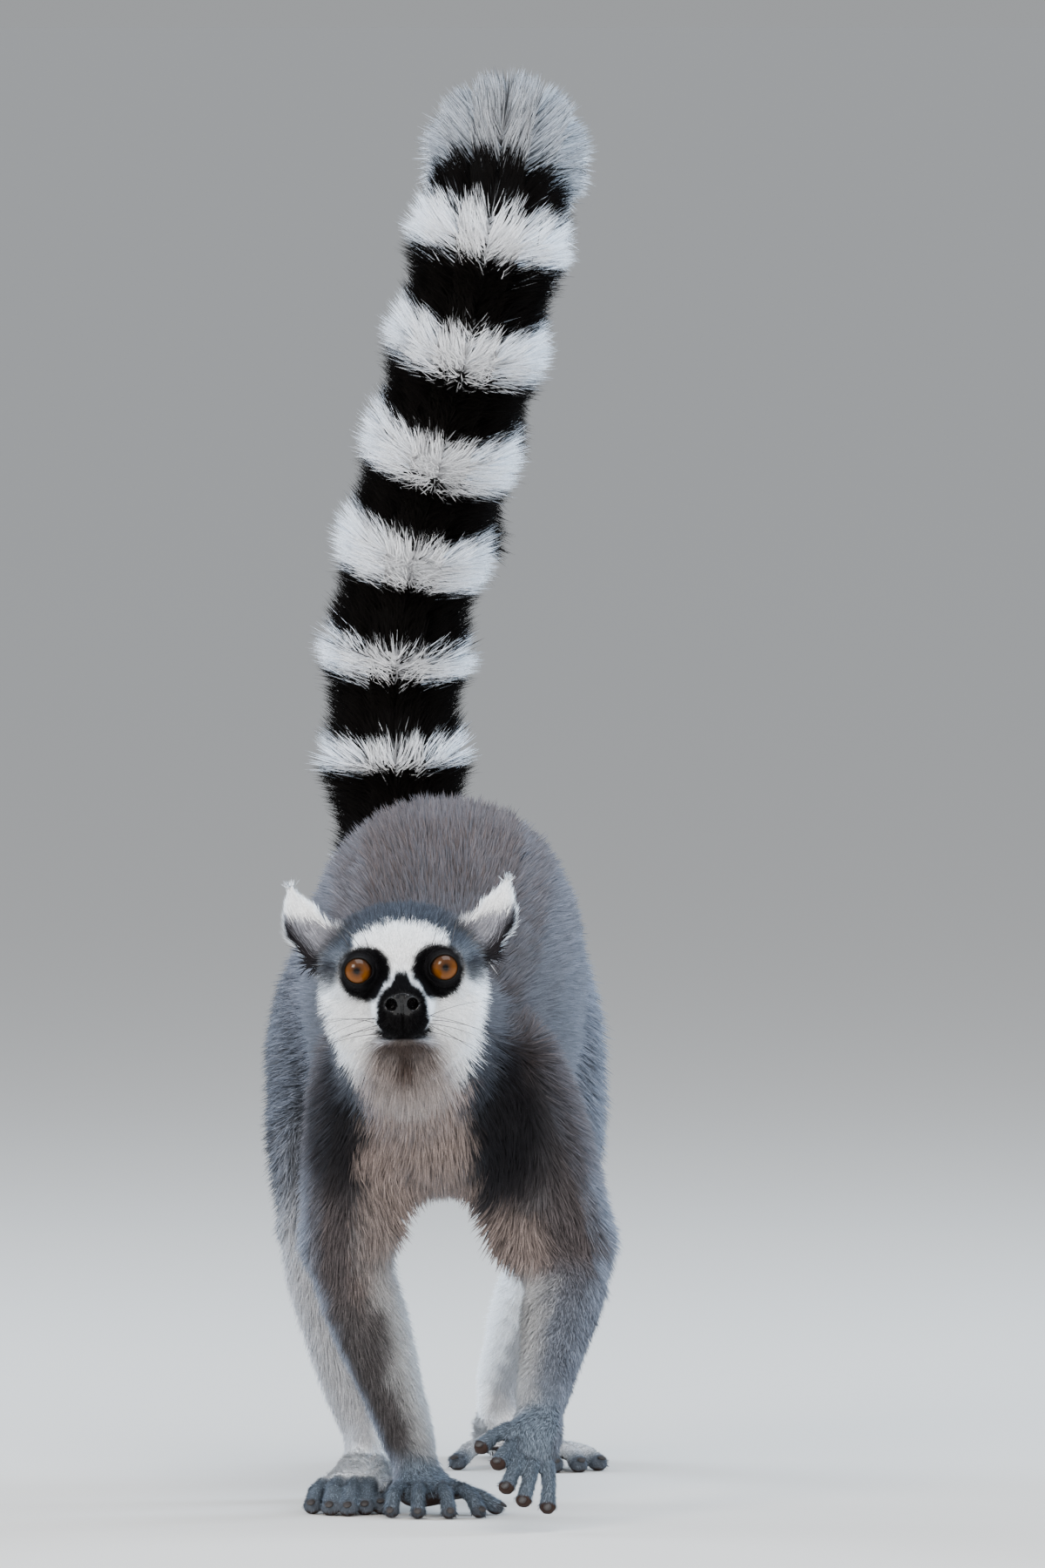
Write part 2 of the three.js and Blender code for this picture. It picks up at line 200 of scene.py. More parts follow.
TRUNK_RUN = [
    (-2, -30, 176),
    (0, 34, 185),
    (0, 92, 191),
    (0, 150, 202),
    (1, 208, 215),
    (1, 252, 223),
    (0, 282, 229),
]
NECK_RUN = [(-15, -76, 220), (-13, -56, 208), (-8, -26, 197), (-3, 20, 192)]
SKULL_RUN = from_head([(0, 4, -6), (0, 24, -5), (0, 58, -7)])
RUFF_RUN = from_head([(0, 20, -22), (0, 16, -40)])
MUZZLE_RUN = from_head([(0, -36, -15), (0, 2, -14)])


def ear_run(side):
    """The middle line of an ear, from its root to its tip."""
    places = [(25, 26, 4), (33, 28, 10), (38.5, 30, 17), (42, 31.5, 24.5), (43.6, 32.5, 30)]
    return from_head([(side * x, y, z) for x, y, z in places])


def body_parts():
    """Every part by name. The tufts of small parts are finer and closer together."""
    parts = {
        "trunk": Part([TRUNK_RUN], 60, 6.0, 9.0, 0.8, 0.76),
        "neck": Part([NECK_RUN], 38, 7.5, 11.5, 0.75, 1.8),
        "skull": Part([SKULL_RUN], 33, 3.0, 5.6, 0.48, 4.7),
        "ruff": Part([RUFF_RUN], 24, 5.0, 9.5, 0.6, 2.8),
        "muzzle": Part([MUZZLE_RUN], 13, 0.6, 1.6, 0.3, 7.0),
        "tail": Part([TAIL_RUN], 32, 12.0, 14.0, 0.74, 1.2),
    }
    for side, sign in (("left", 1), ("right", -1)):
        parts |= {
            f"ear_{side}": Part([ear_run(sign)], 9, 0.5, 6.2, 0.42, 4.6),
            f"upper_arm_{side}": Part([[SHOULDER[side], ELBOW[side]]], 22, 4.2, 7.6, 0.68, 1.4),
            f"forearm_{side}": Part([[ELBOW[side], WRIST[side]]], 15, 2.1, 5.6, 0.54, 2.1),
            f"hand_{side}": Part([PALM[side]], 11, 1.4, 3.8, 0.42, 3.6),
            f"fingers_{side}": Part(FINGERS[side], 3.9, 0.8, 2.5, 0.34, 4.2),
            f"thigh_{side}": Part([[HIP[side], KNEE[side]]], 31, 6.0, 9.0, 0.78, 1.02),
            f"shank_{side}": Part([[KNEE[side], ANKLE[side]]], 15, 2.7, 6.6, 0.6, 1.6),
            f"foot_{side}": Part([SOLE[side]], 11, 1.7, 5.4, 0.5, 3.1),
            f"toes_{side}": Part(TOES[side], 4.4, 0.8, 2.1, 0.34, 3.6),
        }
    return parts


PARTS = body_parts()
NAMES = list(PARTS)
TAIL_LENGTH = np.linalg.norm(np.diff(TAIL_RUN, axis=0), axis=1).sum()


def unit(v):
    return v / np.maximum(np.linalg.norm(v, axis=-1, keepdims=True), 1e-9)


def ramp(value, start, end):
    """0 before start, 1 past end, and smooth between them. start may be the larger."""
    t = np.clip((value - start) / (end - start), 0, 1)
    return t * t * (3 - 2 * t)


def mixed(a, b, share):
    share = np.asarray(share)[..., None]
    return a * (1 - share) + b * share


def mottle(points, size, seed):
    """A smooth random height between about -1 and 1, with lumps of the given size in mm."""
    dice = np.random.default_rng(seed)
    total = np.zeros(len(points))
    for _ in range(7):
        way = unit(dice.normal(size=3)) * 2 * math.pi / (size * dice.uniform(0.7, 1.5))
        total += np.sin(points @ way + dice.uniform(0, 2 * math.pi))
    return total / 2.6


def along_runs(points, runs):
    """The nearest place on a part's lines: distance, run, share of its length, way it runs, and
    the offset from the line."""
    best = np.full(len(points), np.inf)
    which = np.zeros(len(points), int)
    share = np.zeros(len(points))
    way = np.zeros((len(points), 3))
    offset = np.zeros((len(points), 3))
    for number, run in enumerate(runs):
        run = np.asarray(run, float)
        steps = np.diff(run, axis=0)
        lengths = np.linalg.norm(steps, axis=1)
        ways = unit(np.vstack([steps[:1], steps[:-1] + steps[1:], steps[-1:]]))
        travelled = 0.0
        for i, (start, step, length) in enumerate(zip(run, steps, lengths)):
            t = np.clip((points - start) @ step / length**2, 0, 1)
            off = points - start - t[:, None] * step
            distance = np.linalg.norm(off, axis=1)
            nearer = distance < best
            best[nearer] = distance[nearer]
            which[nearer] = number
            share[nearer] = (travelled + t[nearer] * length) / lengths.sum()
            way[nearer] = mixed(ways[i], ways[i + 1], t[nearer])
            offset[nearer] = off[nearer]
            travelled += length
    return best, which, share, unit(way), offset


Place = namedtuple("Place", "points normals weights part way share spot")
PART_BLEND = 7.0  # how sharply one part's coat gives way to the next
BATCH = 60000


def place_on_body(points, normals):
    """Where each point lies: the weight of each part, the part that leads, the way its line
    runs, the share of that line, and its spot in the coat's flat pattern."""
    batches = []
    for start in range(0, len(points), BATCH):
        p = points[start : start + BATCH]
        found = [along_runs(p, PARTS[name].runs) for name in NAMES]
        closeness = np.array([f[0] / PARTS[name].girth for f, name in zip(found, NAMES)])
        weights = np.exp(-PART_BLEND * (closeness - closeness.min(0)))
        weights /= weights.sum(0)
        part = closeness.argmin(0)
        way = sum(w[:, None] * f[3] for w, f in zip(weights, found))
        which = np.choose(part, [f[1] for f in found])
        share = np.choose(part, [f[2] for f in found])
        offset = np.stack([f[4] for f in found])[part, np.arange(len(p))]
        own_way = np.stack([f[3] for f in found])[part, np.arange(len(p))]
        spot = pattern_spot(part, which, share, own_way, offset)
        batches.append((weights.T, part, unit(way), share, spot))
    weights, part, way, share, spot = (np.concatenate(b) for b in zip(*batches))
    return Place(points, normals, weights, part, way, share, spot)


PATTERN_CELLS = 5  # the flat pattern is a square of cells, one for each part


def pattern_spot(part, which, share, way, offset):
    """The skin laid flat: each part is slit along its line and rolled out into a cell."""
    lines = np.array([len(PARTS[name].runs) for name in NAMES])[part]
    across = unit(np.cross(way, np.where(np.abs(way[:, 2:]) > 0.8, [1.0, 0, 0], [0, 0, 1.0])))
    deep = np.cross(way, across)
    turn = np.arctan2((offset * deep).sum(1), (offset * across).sum(1)) / (2 * math.pi) + 0.5
    u = (which + 0.05 + 0.9 * share) / lines
    cell = np.stack([part % PATTERN_CELLS, part // PATTERN_CELLS], 1)
    return (cell + 0.03 + 0.94 * np.stack([u, turn], 1)) / PATTERN_CELLS


def weight_of(place, *starts):
    """The weight of the parts whose names start so."""
    chosen = [any(name.startswith(s) for s in starts) for name in NAMES]
    return place.weights[:, chosen].sum(1)


def blended(place, size):
    return place.weights @ np.array([getattr(PARTS[name], size) for name in NAMES])


# ------------------------------------------------------------------ the lie of the coat

NOSE_TIP = np.array([0.0, -38.0, -12.0])
CHEST_LIE = np.array([0.0, 0.55, -0.8])  # the hair of chest and throat lies down and back
FACE_DEPTH = 1.5
FACE_HAIR, SNOUT_HAIR, LID_HAIR = 3.2, 1.5, 1.3
ANKLE_FROM = 0.7  # share of the way down shank or forearm where its coat begins to thin


def coat_depth(place):
    """How far the skin lies inside the tips of the coat, in mm."""
    depth = blended(place, "depth")
    q = to_head(place.points)
    head = weight_of(place, "skull", "ruff", "muzzle")
    face = head * ramp(q[:, 1], 16, 0) * ramp(q[:, 2], -34, -22)
    depth = depth * (1 - face) + face * FACE_DEPTH
    ankle = weight_of(place, "shank", "forearm") * ramp(place.share, ANKLE_FROM, 1.0)
    return depth * (1 - 0.6 * ankle)


def hair_length(place):
    """How long the tufts are, in mm: short on face and lids, and above hands and feet."""
    length = blended(place, "hair")
    q = to_head(place.points)
    head = weight_of(place, "skull", "ruff", "muzzle")
    face = head * ramp(q[:, 1], 18, -2) * ramp(q[:, 2], -34, -20)
    length = length * (1 - face) + face * FACE_HAIR
    snout = head * ramp(q[:, 1], -2, -14) * ramp(q[:, 2], -34, -28)
    length = length * (1 - snout) + snout * SNOUT_HAIR
    near_eye = head * ramp(eye_distance(q), 14, 8) * ramp(q[:, 1], 20, 10)
    length = length * (1 - near_eye) + near_eye * LID_HAIR
    ankle = weight_of(place, "shank", "forearm") * ramp(place.share, ANKLE_FROM, 1.0)
    return length * (1 - 0.4 * ankle)


def eye_distance(q):
    """Distance from the nearer eye's axis, for points in the head's frame."""
    return np.hypot(np.abs(q[:, 0]) - EYE_SPACING / 2, q[:, 2])


def lie_of_coat(place):
    """The way the hair points at each place, along the skin."""
    p, n = place.points, place.normals
    way = place.way.copy()
    q = to_head(p)
    head = weight_of(place, "skull", "ruff", "muzzle")
    from_nose = unit(q - NOSE_TIP) @ HEAD_TURN.T
    way = mixed(way, from_nose, head)
    before = ramp(n[:, 1] + 0.6 * n[:, 2], 0.1, -0.6)
    chest = weight_of(place, "trunk", "neck") * ramp(p[:, 1], 45, -10) * before
    way = mixed(way, CHEST_LIE, chest)
    flank = weight_of(place, "trunk", "thigh", "neck", "upper_arm")
    way[:, 2] -= 0.4 * flank * ramp(np.abs(n[:, 0]), 0.3, 0.9)
    way = way - (way * n).sum(1, keepdims=True) * n
    return unit(way)


# ------------------------------------------------------------------ markings


def srgb(code):
    """A six-figure sRGB colour as linear red, green and blue."""
    channels = np.array([int(code[i : i + 2], 16) for i in (0, 2, 4)]) / 255
    return np.where(channels <= 0.04045, channels / 12.92, ((channels + 0.055) / 1.055) ** 2.4)


WHITE_HAIR = srgb("FAFAFA")
CREAM_HAIR = srgb("91817A")
CHIN_HAIR = srgb("33251F")
BACK_HAIR = srgb("483D39")
FLANK_HAIR = srgb("3A393D")
SHOULDER_HAIR = srgb("514A4A")
# The dark of the shoulder patches: dark fur with painted shadow under head and cheeks.
SHOULDER_SHADOW_AND_FUR = srgb("110F12")
SIDE_HAIR = srgb("787D88")
FOREARM_HAIR = srgb("4A4646")
HAND_HAIR = srgb("6A7581")
SHANK_HAIR = srgb("B9B9BC")
FOOT_HAIR = srgb("F2F3F5")
CROWN_HAIR = srgb("3B3F46")
TEMPLE_HAIR = srgb("5C5F64")
EAR_GREY = srgb("84848B")
EAR_DARK = srgb("1A181B")
BLACK_HAIR = srgb("080709")
BARE_SKIN = srgb("080708")
PAD_SKIN = srgb("2C211D")
TAIL_DARK = srgb("090706")
TAIL_PALE = srgb("E6E8EC")

# Where each white ring starts and ends, along the tail from the rump, at the tips of its hair.
WHITE_RINGS = [
    (49, 56),
    (96, 102.5),
    (135, 146.5),
    (177, 198),
    (226, 245),
    (276, 293),
    (324, 338),
    (356.5, 391),
    (415, 436),
    (462, 483),
    (509, 528),
]
GREY_ROOT = 26  # the tail is grey this far from the rump


def tail_marking(place):
    along = place.share * TAIL_LENGTH
    ragged = along + 1.6 * mottle(place.points, 6, 11)
    white = sum(
        ramp(ragged, start - 1.5, start + 1.5) * ramp(ragged, end + 2, end - 2)
        for start, end in WHITE_RINGS
    )
    # The hair parts up the front of the tail, and its dark roots show there.
    aside = np.abs(place.normals[:, 0] + 0.05 * mottle(place.points, 9, 12))
    seam = ramp(aside, 0.22, 0.02) * (place.normals[:, 1] < 0)
    # Round the bend the hair stands apart and the front of the ring there shows grey: partly its dark roots,
    # partly painted shade.
    bend = ramp(along, 350, 358) * ramp(along, 394, 386) * ramp(place.normals[:, 1], 0.6, 0.0)
    streaks = bend * ramp(mottle(place.points, 2.2, 13), -0.2, 0.7)
    white = white * (1 - 0.65 * seam) * (1 - 0.7 * streaks) * (1 - 0.55 * bend)
    colour = mixed(TAIL_DARK, TAIL_PALE, white)
    return mixed(colour, FLANK_HAIR, ramp(along, GREY_ROOT, GREY_ROOT - 12))


# Heights on the face, and half the breadth of the muzzle's black at each.
MUZZLE_HALF = (
    [-26, -24, -20, -15.5, -11.8, -7.2, -2.5, -0.5],
    [12.8, 12.5, 11.2, 10.5, 8.6, 5.8, 3.3, 2.4],
)
LIP_HEIGHT = -26.6


def muzzle_black(q):
    """1 on the black of the muzzle: a wedge from between the eyes to the corners of the lips."""
    half = np.interp(q[:, 2], *MUZZLE_HALF)
    inside = ramp(np.abs(q[:, 0]) - half, 0.7, -0.7) * ramp(q[:, 1], 4, -2)
    # Behind the whisker pads, between nose and lips, the sides turn white.
    side = ramp(q[:, 2], -11, -15) * ramp(q[:, 2], -25.5, -22.5) * ramp(q[:, 1], -20, -6)
    inside = inside * (1 - side)
    inside = np.maximum(inside, ramp(q[:, 1], -24, -30))
    return inside * ramp(q[:, 2], 1.0, -1.5) * ramp(q[:, 2], -28.8, -27.2)


def nose_leather(q):
    """1 on the wet pad of the nose, round the nostrils."""
    across = np.hypot(q[:, 0] / 7.6, (q[:, 2] + 13) / 4.8)
    return ramp(across, 1.08, 0.95) * ramp(q[:, 1], -28, -31)


def lip_margin(q):
    """1 on the bare edges of the lips."""
    near = ramp(np.abs(q[:, 2] - LIP_HEIGHT), 1.3, 0.7)
    return near * ramp(q[:, 1], 0, -6) * ramp(np.abs(q[:, 0]), 13.5, 12)


def face_marking(q):
    """Colours of the head, from places in its own frame."""
    x, y, z = np.abs(q[:, 0]), q[:, 1], q[:, 2]
    ragged = mottle(q, 4, 21)
    colour = np.broadcast_to(WHITE_HAIR, (len(q), 3)).copy()
    # The dark cap comes down to the brow in an arch, and to the temples behind the eyes.
    arch = 19.4 - 0.0155 * x**2
    cap = ramp(z + 0.7 * ragged - arch, -0.8, 1.0)
    temple = ramp(x + 0.7 * ragged, 18.3, 20.8) * ramp(z + 1.5 * ragged, -8, 2)
    nape = ramp(y, 28, 46) * ramp(z + 0.35 * y + 2 * ragged, 0, 12)
    dark = np.maximum.reduce([cap, temple, nape])
    colour = mixed(colour, mixed(CROWN_HAIR, TEMPLE_HAIR, ramp(z, 14, 4)), dark)
    # Dusk where the ear's lower edge runs in to the cheek.
    notch = np.hypot((x - 31.5) / 5.5, (z + 1.5) / 7.5)
    colour = mixed(colour, EAR_DARK, 0.85 * ramp(notch + 0.1 * ragged, 1.2, 0.5) * ramp(y, 40, 30))
    # Eye patches, a little nearer each other than the eyes, and wider apart below.
    dx = x - 15.0 - 0.12 * np.clip(-1 - z, -3, 12)
    patch = np.hypot(dx / 10.7, (z + 1.4) / 12.0) + 0.03 * ragged
    # A thin pale line parts each patch from the muzzle.
    beside = np.abs(x - np.interp(z, *MUZZLE_HALF) - 1.7)
    line = ramp(beside, 1.5, 0.6) * ramp(z, -3, -6)
    colour = mixed(colour, BLACK_HAIR, ramp(patch, 1.13, 0.87) * ramp(y, 24, 16) * (1 - 0.85 * line))
    # The throat is creamier than the cheeks, and the chin dusky brown under the lip.
    throat = ramp(z, -24.5, -33) * ramp(x + 0.4 * (z + 40), 27, 12)
    colour = mixed(colour, CREAM_HAIR, 0.88 * throat)
    chin = ramp(np.hypot(x / 17, (z + 37) / 17) + 0.05 * ragged, 1.2, 0.5)
    chin = chin * (1 - 0.35 * ramp(x, 1.5, 5) * ramp(z, -33, -38))
    colour = mixed(colour, CHIN_HAIR, 0.9 * chin)
    return mixed(colour, BARE_SKIN, muzzle_black(q))


def ear_marking(q, normals):
    """White outside and over the top, grey within, and black low and towards the outer edge."""
    x, z = np.abs(q[:, 0]), q[:, 2]
    below_rim = ramp(z - 0.27 * (x - 29) + 0.8 * mottle(q, 3, 31), 20.5, 17.5)
    inner = ramp(normals[:, 1], -0.1, -0.45) * below_rim
    shade = (z - 8) / 12 - (x - 36) / 10
    within = mixed(EAR_GREY, EAR_DARK, ramp(shade + 0.12 * mottle(q, 1.6, 32), 0.5, -0.35))
    return mixed(np.broadcast_to(WHITE_HAIR, (len(q), 3)), within, inner)


# Heights on the head, and half the breadth of the pale wedge of cheeks and throat at each.
CHEEK_HALF = ([-73, -65, -55, -40, -20, 0], [0, 11, 20, 28, 34, 36])
# Dark patches on the fronts of the shoulders, partly dark fur and partly painted shadow under head and
# cheeks: x and z of each middle, and how dark it is.
SHOULDER_PATCHES = [(27, 162, 0.95), (-42, 157, 0.8)]
SHOULDER_PATCH_SIZE = (19, 47)
ARMPIT_FOLD = (28, 110)  # x and z of the middle of the pale fold before the left armpit
BIB_X = -9.5


def coat_marking(place):
    """The colour of the coat and of the skin under it, linear, for every place."""
    p, n = place.points, place.normals
    q = to_head(p)
    ragged = mottle(p, 16, 3)
    fine = mottle(p, 5, 4)
    colour = np.broadcast_to(FLANK_HAIR, (len(p), 3))
    colour = mixed(colour, BACK_HAIR, ramp(n[:, 2] + 0.12 * ragged, -0.1, 0.6))
    # Paler blue-grey where the coat faces sideways: partly the greyer flanks, partly painted cool sky light
    # on the sides.
    colour = mixed(colour, SIDE_HAIR * 0.8, 0.45 * ramp(np.abs(n[:, 0]) + 0.1 * ragged, 0.45, 1.0))
    # Painted shade over neck and shoulders, where light from behind and above leaves them dim, and partly the
    # coat's own darker saddle.
    colour = colour * (1 - 0.48 * ramp(p[:, 1], 170, 50))[:, None]  # darker towards the shoulders
    belly = ramp(n[:, 2] + 0.1 * ragged, -0.45, -0.85)
    colour = mixed(colour, WHITE_HAIR * 0.85, belly * ramp(p[:, 1], -10, 50))

    left = p[:, 0] > 0
    lower = mixed(SHOULDER_HAIR, SIDE_HAIR * 0.62, ramp(p[:, 2], 122, 78))
    forearm = np.where(left[:, None], lower, FOREARM_HAIR)
    thigh = mixed(SIDE_HAIR * 0.45, SIDE_HAIR * 0.9, ramp(np.abs(n[:, 0]) + 0.1 * ragged, 0.3, 0.9))
    grey_toe = ramp(place.share, np.where(left, 0.6, 0.1), np.where(left, 1.0, 0.5))
    limbs = {
        "upper_arm": SHOULDER_HAIR,
        "forearm": forearm,
        "hand": HAND_HAIR,
        "fingers": HAND_HAIR * 0.75,
        "thigh": thigh,
        "shank": SHANK_HAIR,
        "foot": FOOT_HAIR,
        "toes": mixed(FOOT_HAIR, HAND_HAIR, grey_toe),
    }
    weight = sum(weight_of(place, name) for name in limbs)
    limb = sum(weight_of(place, name)[:, None] * shade for name, shade in limbs.items())
    limb = limb / np.maximum(weight, 1e-6)[:, None]
    inward = np.where(left, -n[:, 0], n[:, 0])
    inner = ramp(inward + 0.1 * ragged, 0.25, 0.75)
    limb = mixed(limb, WHITE_HAIR, inner * weight_of(place, "thigh", "shank"))
    pale = ramp(inward + 0.12 * ragged, -0.1, 0.8) * weight_of(place, "forearm", "upper_arm")
    limb = mixed(limb, WHITE_HAIR * 0.45, pale * ramp(p[:, 2], 150, 100))
    outer = ramp(-inward + 0.08 * ragged, 0.55, 1.0)
    outer = outer * weight_of(place, "forearm", "hand", "upper_arm") * ramp(p[:, 2], 170, 110)
    limb = mixed(limb, SIDE_HAIR, outer)
    colour = mixed(colour, limb, weight)

    # Dark patches on the fronts of the shoulders, partly dark fur and partly painted shadow under head and
    # cheeks, and between them a pale bib.
    front = ramp(p[:, 1], 60, 5) * ramp(n[:, 1] + 0.5 * n[:, 2], 0.3, -0.2)
    breadth, height = SHOULDER_PATCH_SIZE
    for across, up, strength in SHOULDER_PATCHES:
        near = np.hypot((p[:, 0] - across) / breadth, (p[:, 2] - up) / height)
        near = near + 0.1 * ragged + 0.05 * fine
        dark = strength * front * ramp(near, 1.2, 0.4) * ramp(p[:, 2], 112, 148)
        colour = mixed(colour, SHOULDER_SHADOW_AND_FUR, dark)
    height = np.clip((p[:, 2] - 120) / 90, 0, 1)
    bib = ramp(np.abs(p[:, 0] - BIB_X) + 2.5 * ragged + 2 * fine, 29 - 6 * height, 18 - 6 * height)
    trunk = weight_of(place, "trunk", "neck", "ruff") + 0.5 * weight_of(place, "upper_arm")
    colour = mixed(colour, CREAM_HAIR * (0.9 + 0.3 * height[:, None]), front * bib * np.minimum(trunk, 1))

    near = np.hypot((p[:, 0] - ARMPIT_FOLD[0]) / 17, (p[:, 2] - ARMPIT_FOLD[1]) / 17)
    fold = 0.75 * ramp(near + 0.08 * ragged, 1.25, 0.5) * ramp(n[:, 1], 0.4, -0.1) * ramp(p[:, 1], 50, 30)
    colour = mixed(colour, CREAM_HAIR * 0.9, fold)

    half = np.interp(q[:, 2], *CHEEK_HALF)
    wedge = ramp(np.abs(q[:, 0] - 1.5) + 1.5 * fine - half, 3.5, -2.5)
    wedge = wedge * ramp(q[:, 1], 58, 44) * ramp(q[:, 2], 4, -4)
    head = np.maximum(weight_of(place, "skull", "ruff", "muzzle"), wedge * ramp(n[:, 1], 0.5, 0.2))
    colour = mixed(colour, face_marking(q), ramp(head, 0.25, 0.75))
    colour = mixed(colour, ear_marking(q, n), weight_of(place, "ear"))
    colour = mixed(colour, tail_marking(place), ramp(weight_of(place, "tail"), 0.3, 0.7))
    return mixed(colour, PAD_SKIN, bare_pad(place))


def bare_pad(place):
    """1 on the bare pads: the undersides of hands and feet, and the ends of the digits."""
    bare = np.zeros(len(place.points))
    for side in ("left", "right"):
        for limb, digits in (("hand", "fingers"), ("foot", "toes")):
            under = place.normals @ np.array(UNDERSIDE[f"{limb}_{side}"])
            weight = weight_of(place, f"{limb}_{side}", f"{digits}_{side}")
            most = 1 if f"{limb}_{side}" == "hand_left" else 0.5
            tip = most * ramp(place.share, 0.9, 0.97) * weight_of(place, f"{digits}_{side}")
            low = ramp(place.points[:, 2], 22, 14) if limb == "foot" else 1
            bare = np.maximum(bare, weight * low * ramp(under, 0.25, 0.55))
            bare = np.maximum(bare, tip)
    return bare


# ------------------------------------------------------------------ making a skin


def select_only(*objects):
    bpy.ops.object.select_all(action="DESELECT")
    for o in objects:
        o.select_set(True)
    bpy.context.view_layer.objects.active = objects[0]


def new_ball(radius, segments, rings):
    """A ball of this radius in mm, alone selected."""
    bpy.ops.object.select_all(action="DESELECT")
    bpy.ops.mesh.primitive_uv_sphere_add(segments=segments, ring_count=rings, radius=radius * MM)
    return bpy.context.object


def link(mesh, name):
    piece = bpy.data.objects.new(name, mesh)
    bpy.context.scene.collection.objects.link(piece)
    return piece


def apply_modifier(piece, kind, **settings):
    select_only(piece)
    modifier = piece.modifiers.new(kind.title(), kind)
    for key, value in settings.items():
        setattr(modifier, key, value)
    bpy.ops.object.modifier_apply(modifier=modifier.name)


def corners_of(mesh):
    places = np.zeros(len(mesh.vertices) * 3, np.float32)
    mesh.vertices.foreach_get("co", places)
    return places.reshape(-1, 3).astype(float)


def move_corners(mesh, places):
    mesh.vertices.foreach_set("co", places.astype(np.float32).ravel())
    mesh.update()


def normals_of(mesh):
    normals = np.zeros(len(mesh.vertices) * 3, np.float32)
    mesh.vertex_normals.foreach_get("vector", normals)
    return normals.reshape(-1, 3).astype(float)


def relax(mesh, rounds, strength):
    """Moves each corner towards the middle of its neighbours, by its own strength."""
    edges = np.zeros(len(mesh.edges) * 2, np.int32)
    mesh.edges.foreach_get("vertices", edges)
    a, b = edges.reshape(-1, 2).T
    places = corners_of(mesh)
    count = np.bincount(a, minlength=len(places)) + np.bincount(b, minlength=len(places))
    for _ in range(rounds):
        middle = np.stack(
            [
                np.bincount(a, places[b, k], len(places)) + np.bincount(b, places[a, k], len(places))
                for k in range(3)
            ],
            1,
        )
        places += strength[:, None] * (middle / count[:, None] - places)
    move_corners(mesh, places)


FLESH = sorted(set(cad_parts) - {"eye_left", "eye_right"})
SKIN_GRID = 1.2  # mm between corners of the skin as it is cast
SKIN_FACES = 180000

# Loose folds of skin and deep hair that bridge hollows: the middle of each, and its half breadths.
FOLDS = [
    ((34, 2, 128), (22, 14, 29)),
    ((-26, 2, 126), (16, 12, 22)),
    ((24, 309, 25), (10, 14, 15)),
    ((-31, 88, 23), (10, 14, 14)),
]
DIGIT_SLACK = 0.9  # mm by which digits are slimmed for casting, so that none run together


def cast_body():
    """One closed surface round all the solids of flesh."""
    copies = []
    for name in FLESH:
        copy = link(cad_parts[name].data.copy(), "cast_" + name)
        apply_modifier(copy, "WELD", merge_threshold=0.02 * MM)
        if name.startswith(("hand", "foot")):
            place = surface_place(copy.data)
            slim = place.normals * (DIGIT_SLACK * weight_of(place, "fingers", "toes"))[:, None]
            move_corners(copy.data, corners_of(copy.data) - slim * MM)
        copies.append(copy)
    for middle, breadths in FOLDS:
        fold = new_ball(1, 32, 16)
        move_corners(fold.data, corners_of(fold.data) * breadths + to_scene(np.array(middle, float)))
        copies.append(fold)
    select_only(*copies)
    bpy.ops.object.join()
    body = bpy.context.view_layer.objects.active
    bpy.ops.object.mode_set(mode="EDIT")
    bpy.ops.mesh.select_all(action="SELECT")
    bpy.ops.mesh.normals_make_consistent(inside=False)
    bpy.ops.object.mode_set(mode="OBJECT")
    apply_modifier(body, "REMESH", mode="VOXEL", voxel_size=SKIN_GRID * MM, adaptivity=0.0)
    return body


def surface_place(mesh):
    return place_on_body(to_body(corners_of(mesh)), normals_of(mesh))


# Rounds of smoothing: of the cast, once it is set in, and last of all at its creases.
CAST_ROUNDS, SET_IN_ROUNDS, CREASE_ROUNDS = 14, 8, 6
FILLS, FILL_ROUNDS = 15, 10  # how often hollows at the creases are filled, and rounds each time


def set_in_by_coat(mesh):
    """Smooths the cast and draws it in by the depth of the coat, but not at the bare pads."""
    place = surface_place(mesh)
    digits = weight_of(place, "fingers", "toes")
    fine = digits + weight_of(place, "ear", "muzzle")
    small = weight_of(place, "hand", "foot") + 0.6 * weight_of(place, "skull", "ruff")
    firmness = 0.5 * (1 - fine) * (1 - 0.75 * small) + 0.06 * fine
    relax(mesh, CAST_ROUNDS, firmness)
    inset = coat_depth(place) * (1 - bare_pad(place)) - DIGIT_SLACK * digits
    move_corners(mesh, corners_of(mesh) - normals_of(mesh) * inset[:, None] * MM)
    relax(mesh, SET_IN_ROUNDS, firmness * 0.9)
    joints = np.zeros(len(place.points))
    for spot, reach in CREASES:
        away = np.linalg.norm(place.points - spot, axis=1)
        joints = np.maximum(joints, ramp(away, reach, 0.5 * reach))
    for _ in range(FILLS):
        fill_hollows(mesh, FILL_ROUNDS, 0.5 * joints * (1 - digits))
    relax(mesh, CREASE_ROUNDS, 0.4 * joints * (1 - digits))
    stand_on_floor(mesh)


# Where limbs run in to the body, hands and feet: the coat rounds these hollows within so many mm.
CREASES = [
    ((24, -2, 128), 40),
    ((-20, -2, 128), 40),
    ((26, -30, 180), 34),
    ((-38, -30, 180), 34),
    *((spot, 26) for joint in (ANKLE, WRIST) for spot in joint.values()),
]


def fill_hollows(mesh, rounds, strength):
    """Moves each corner towards the middle of its neighbours, but only outward."""
    before, outward = corners_of(mesh), normals_of(mesh)
    relax(mesh, rounds, strength)
    moved = corners_of(mesh) - before
    rise = np.maximum((moved * outward).sum(1, keepdims=True), 0)
    move_corners(mesh, before + outward * rise)


def stand_on_floor(mesh):
    """Flattens what would reach below the floor."""
    places = corners_of(mesh)
    places[:, 2] = np.maximum(places[:, 2], 0)
    move_corners(mesh, places)


# ------------------------------------------------------------------ the face

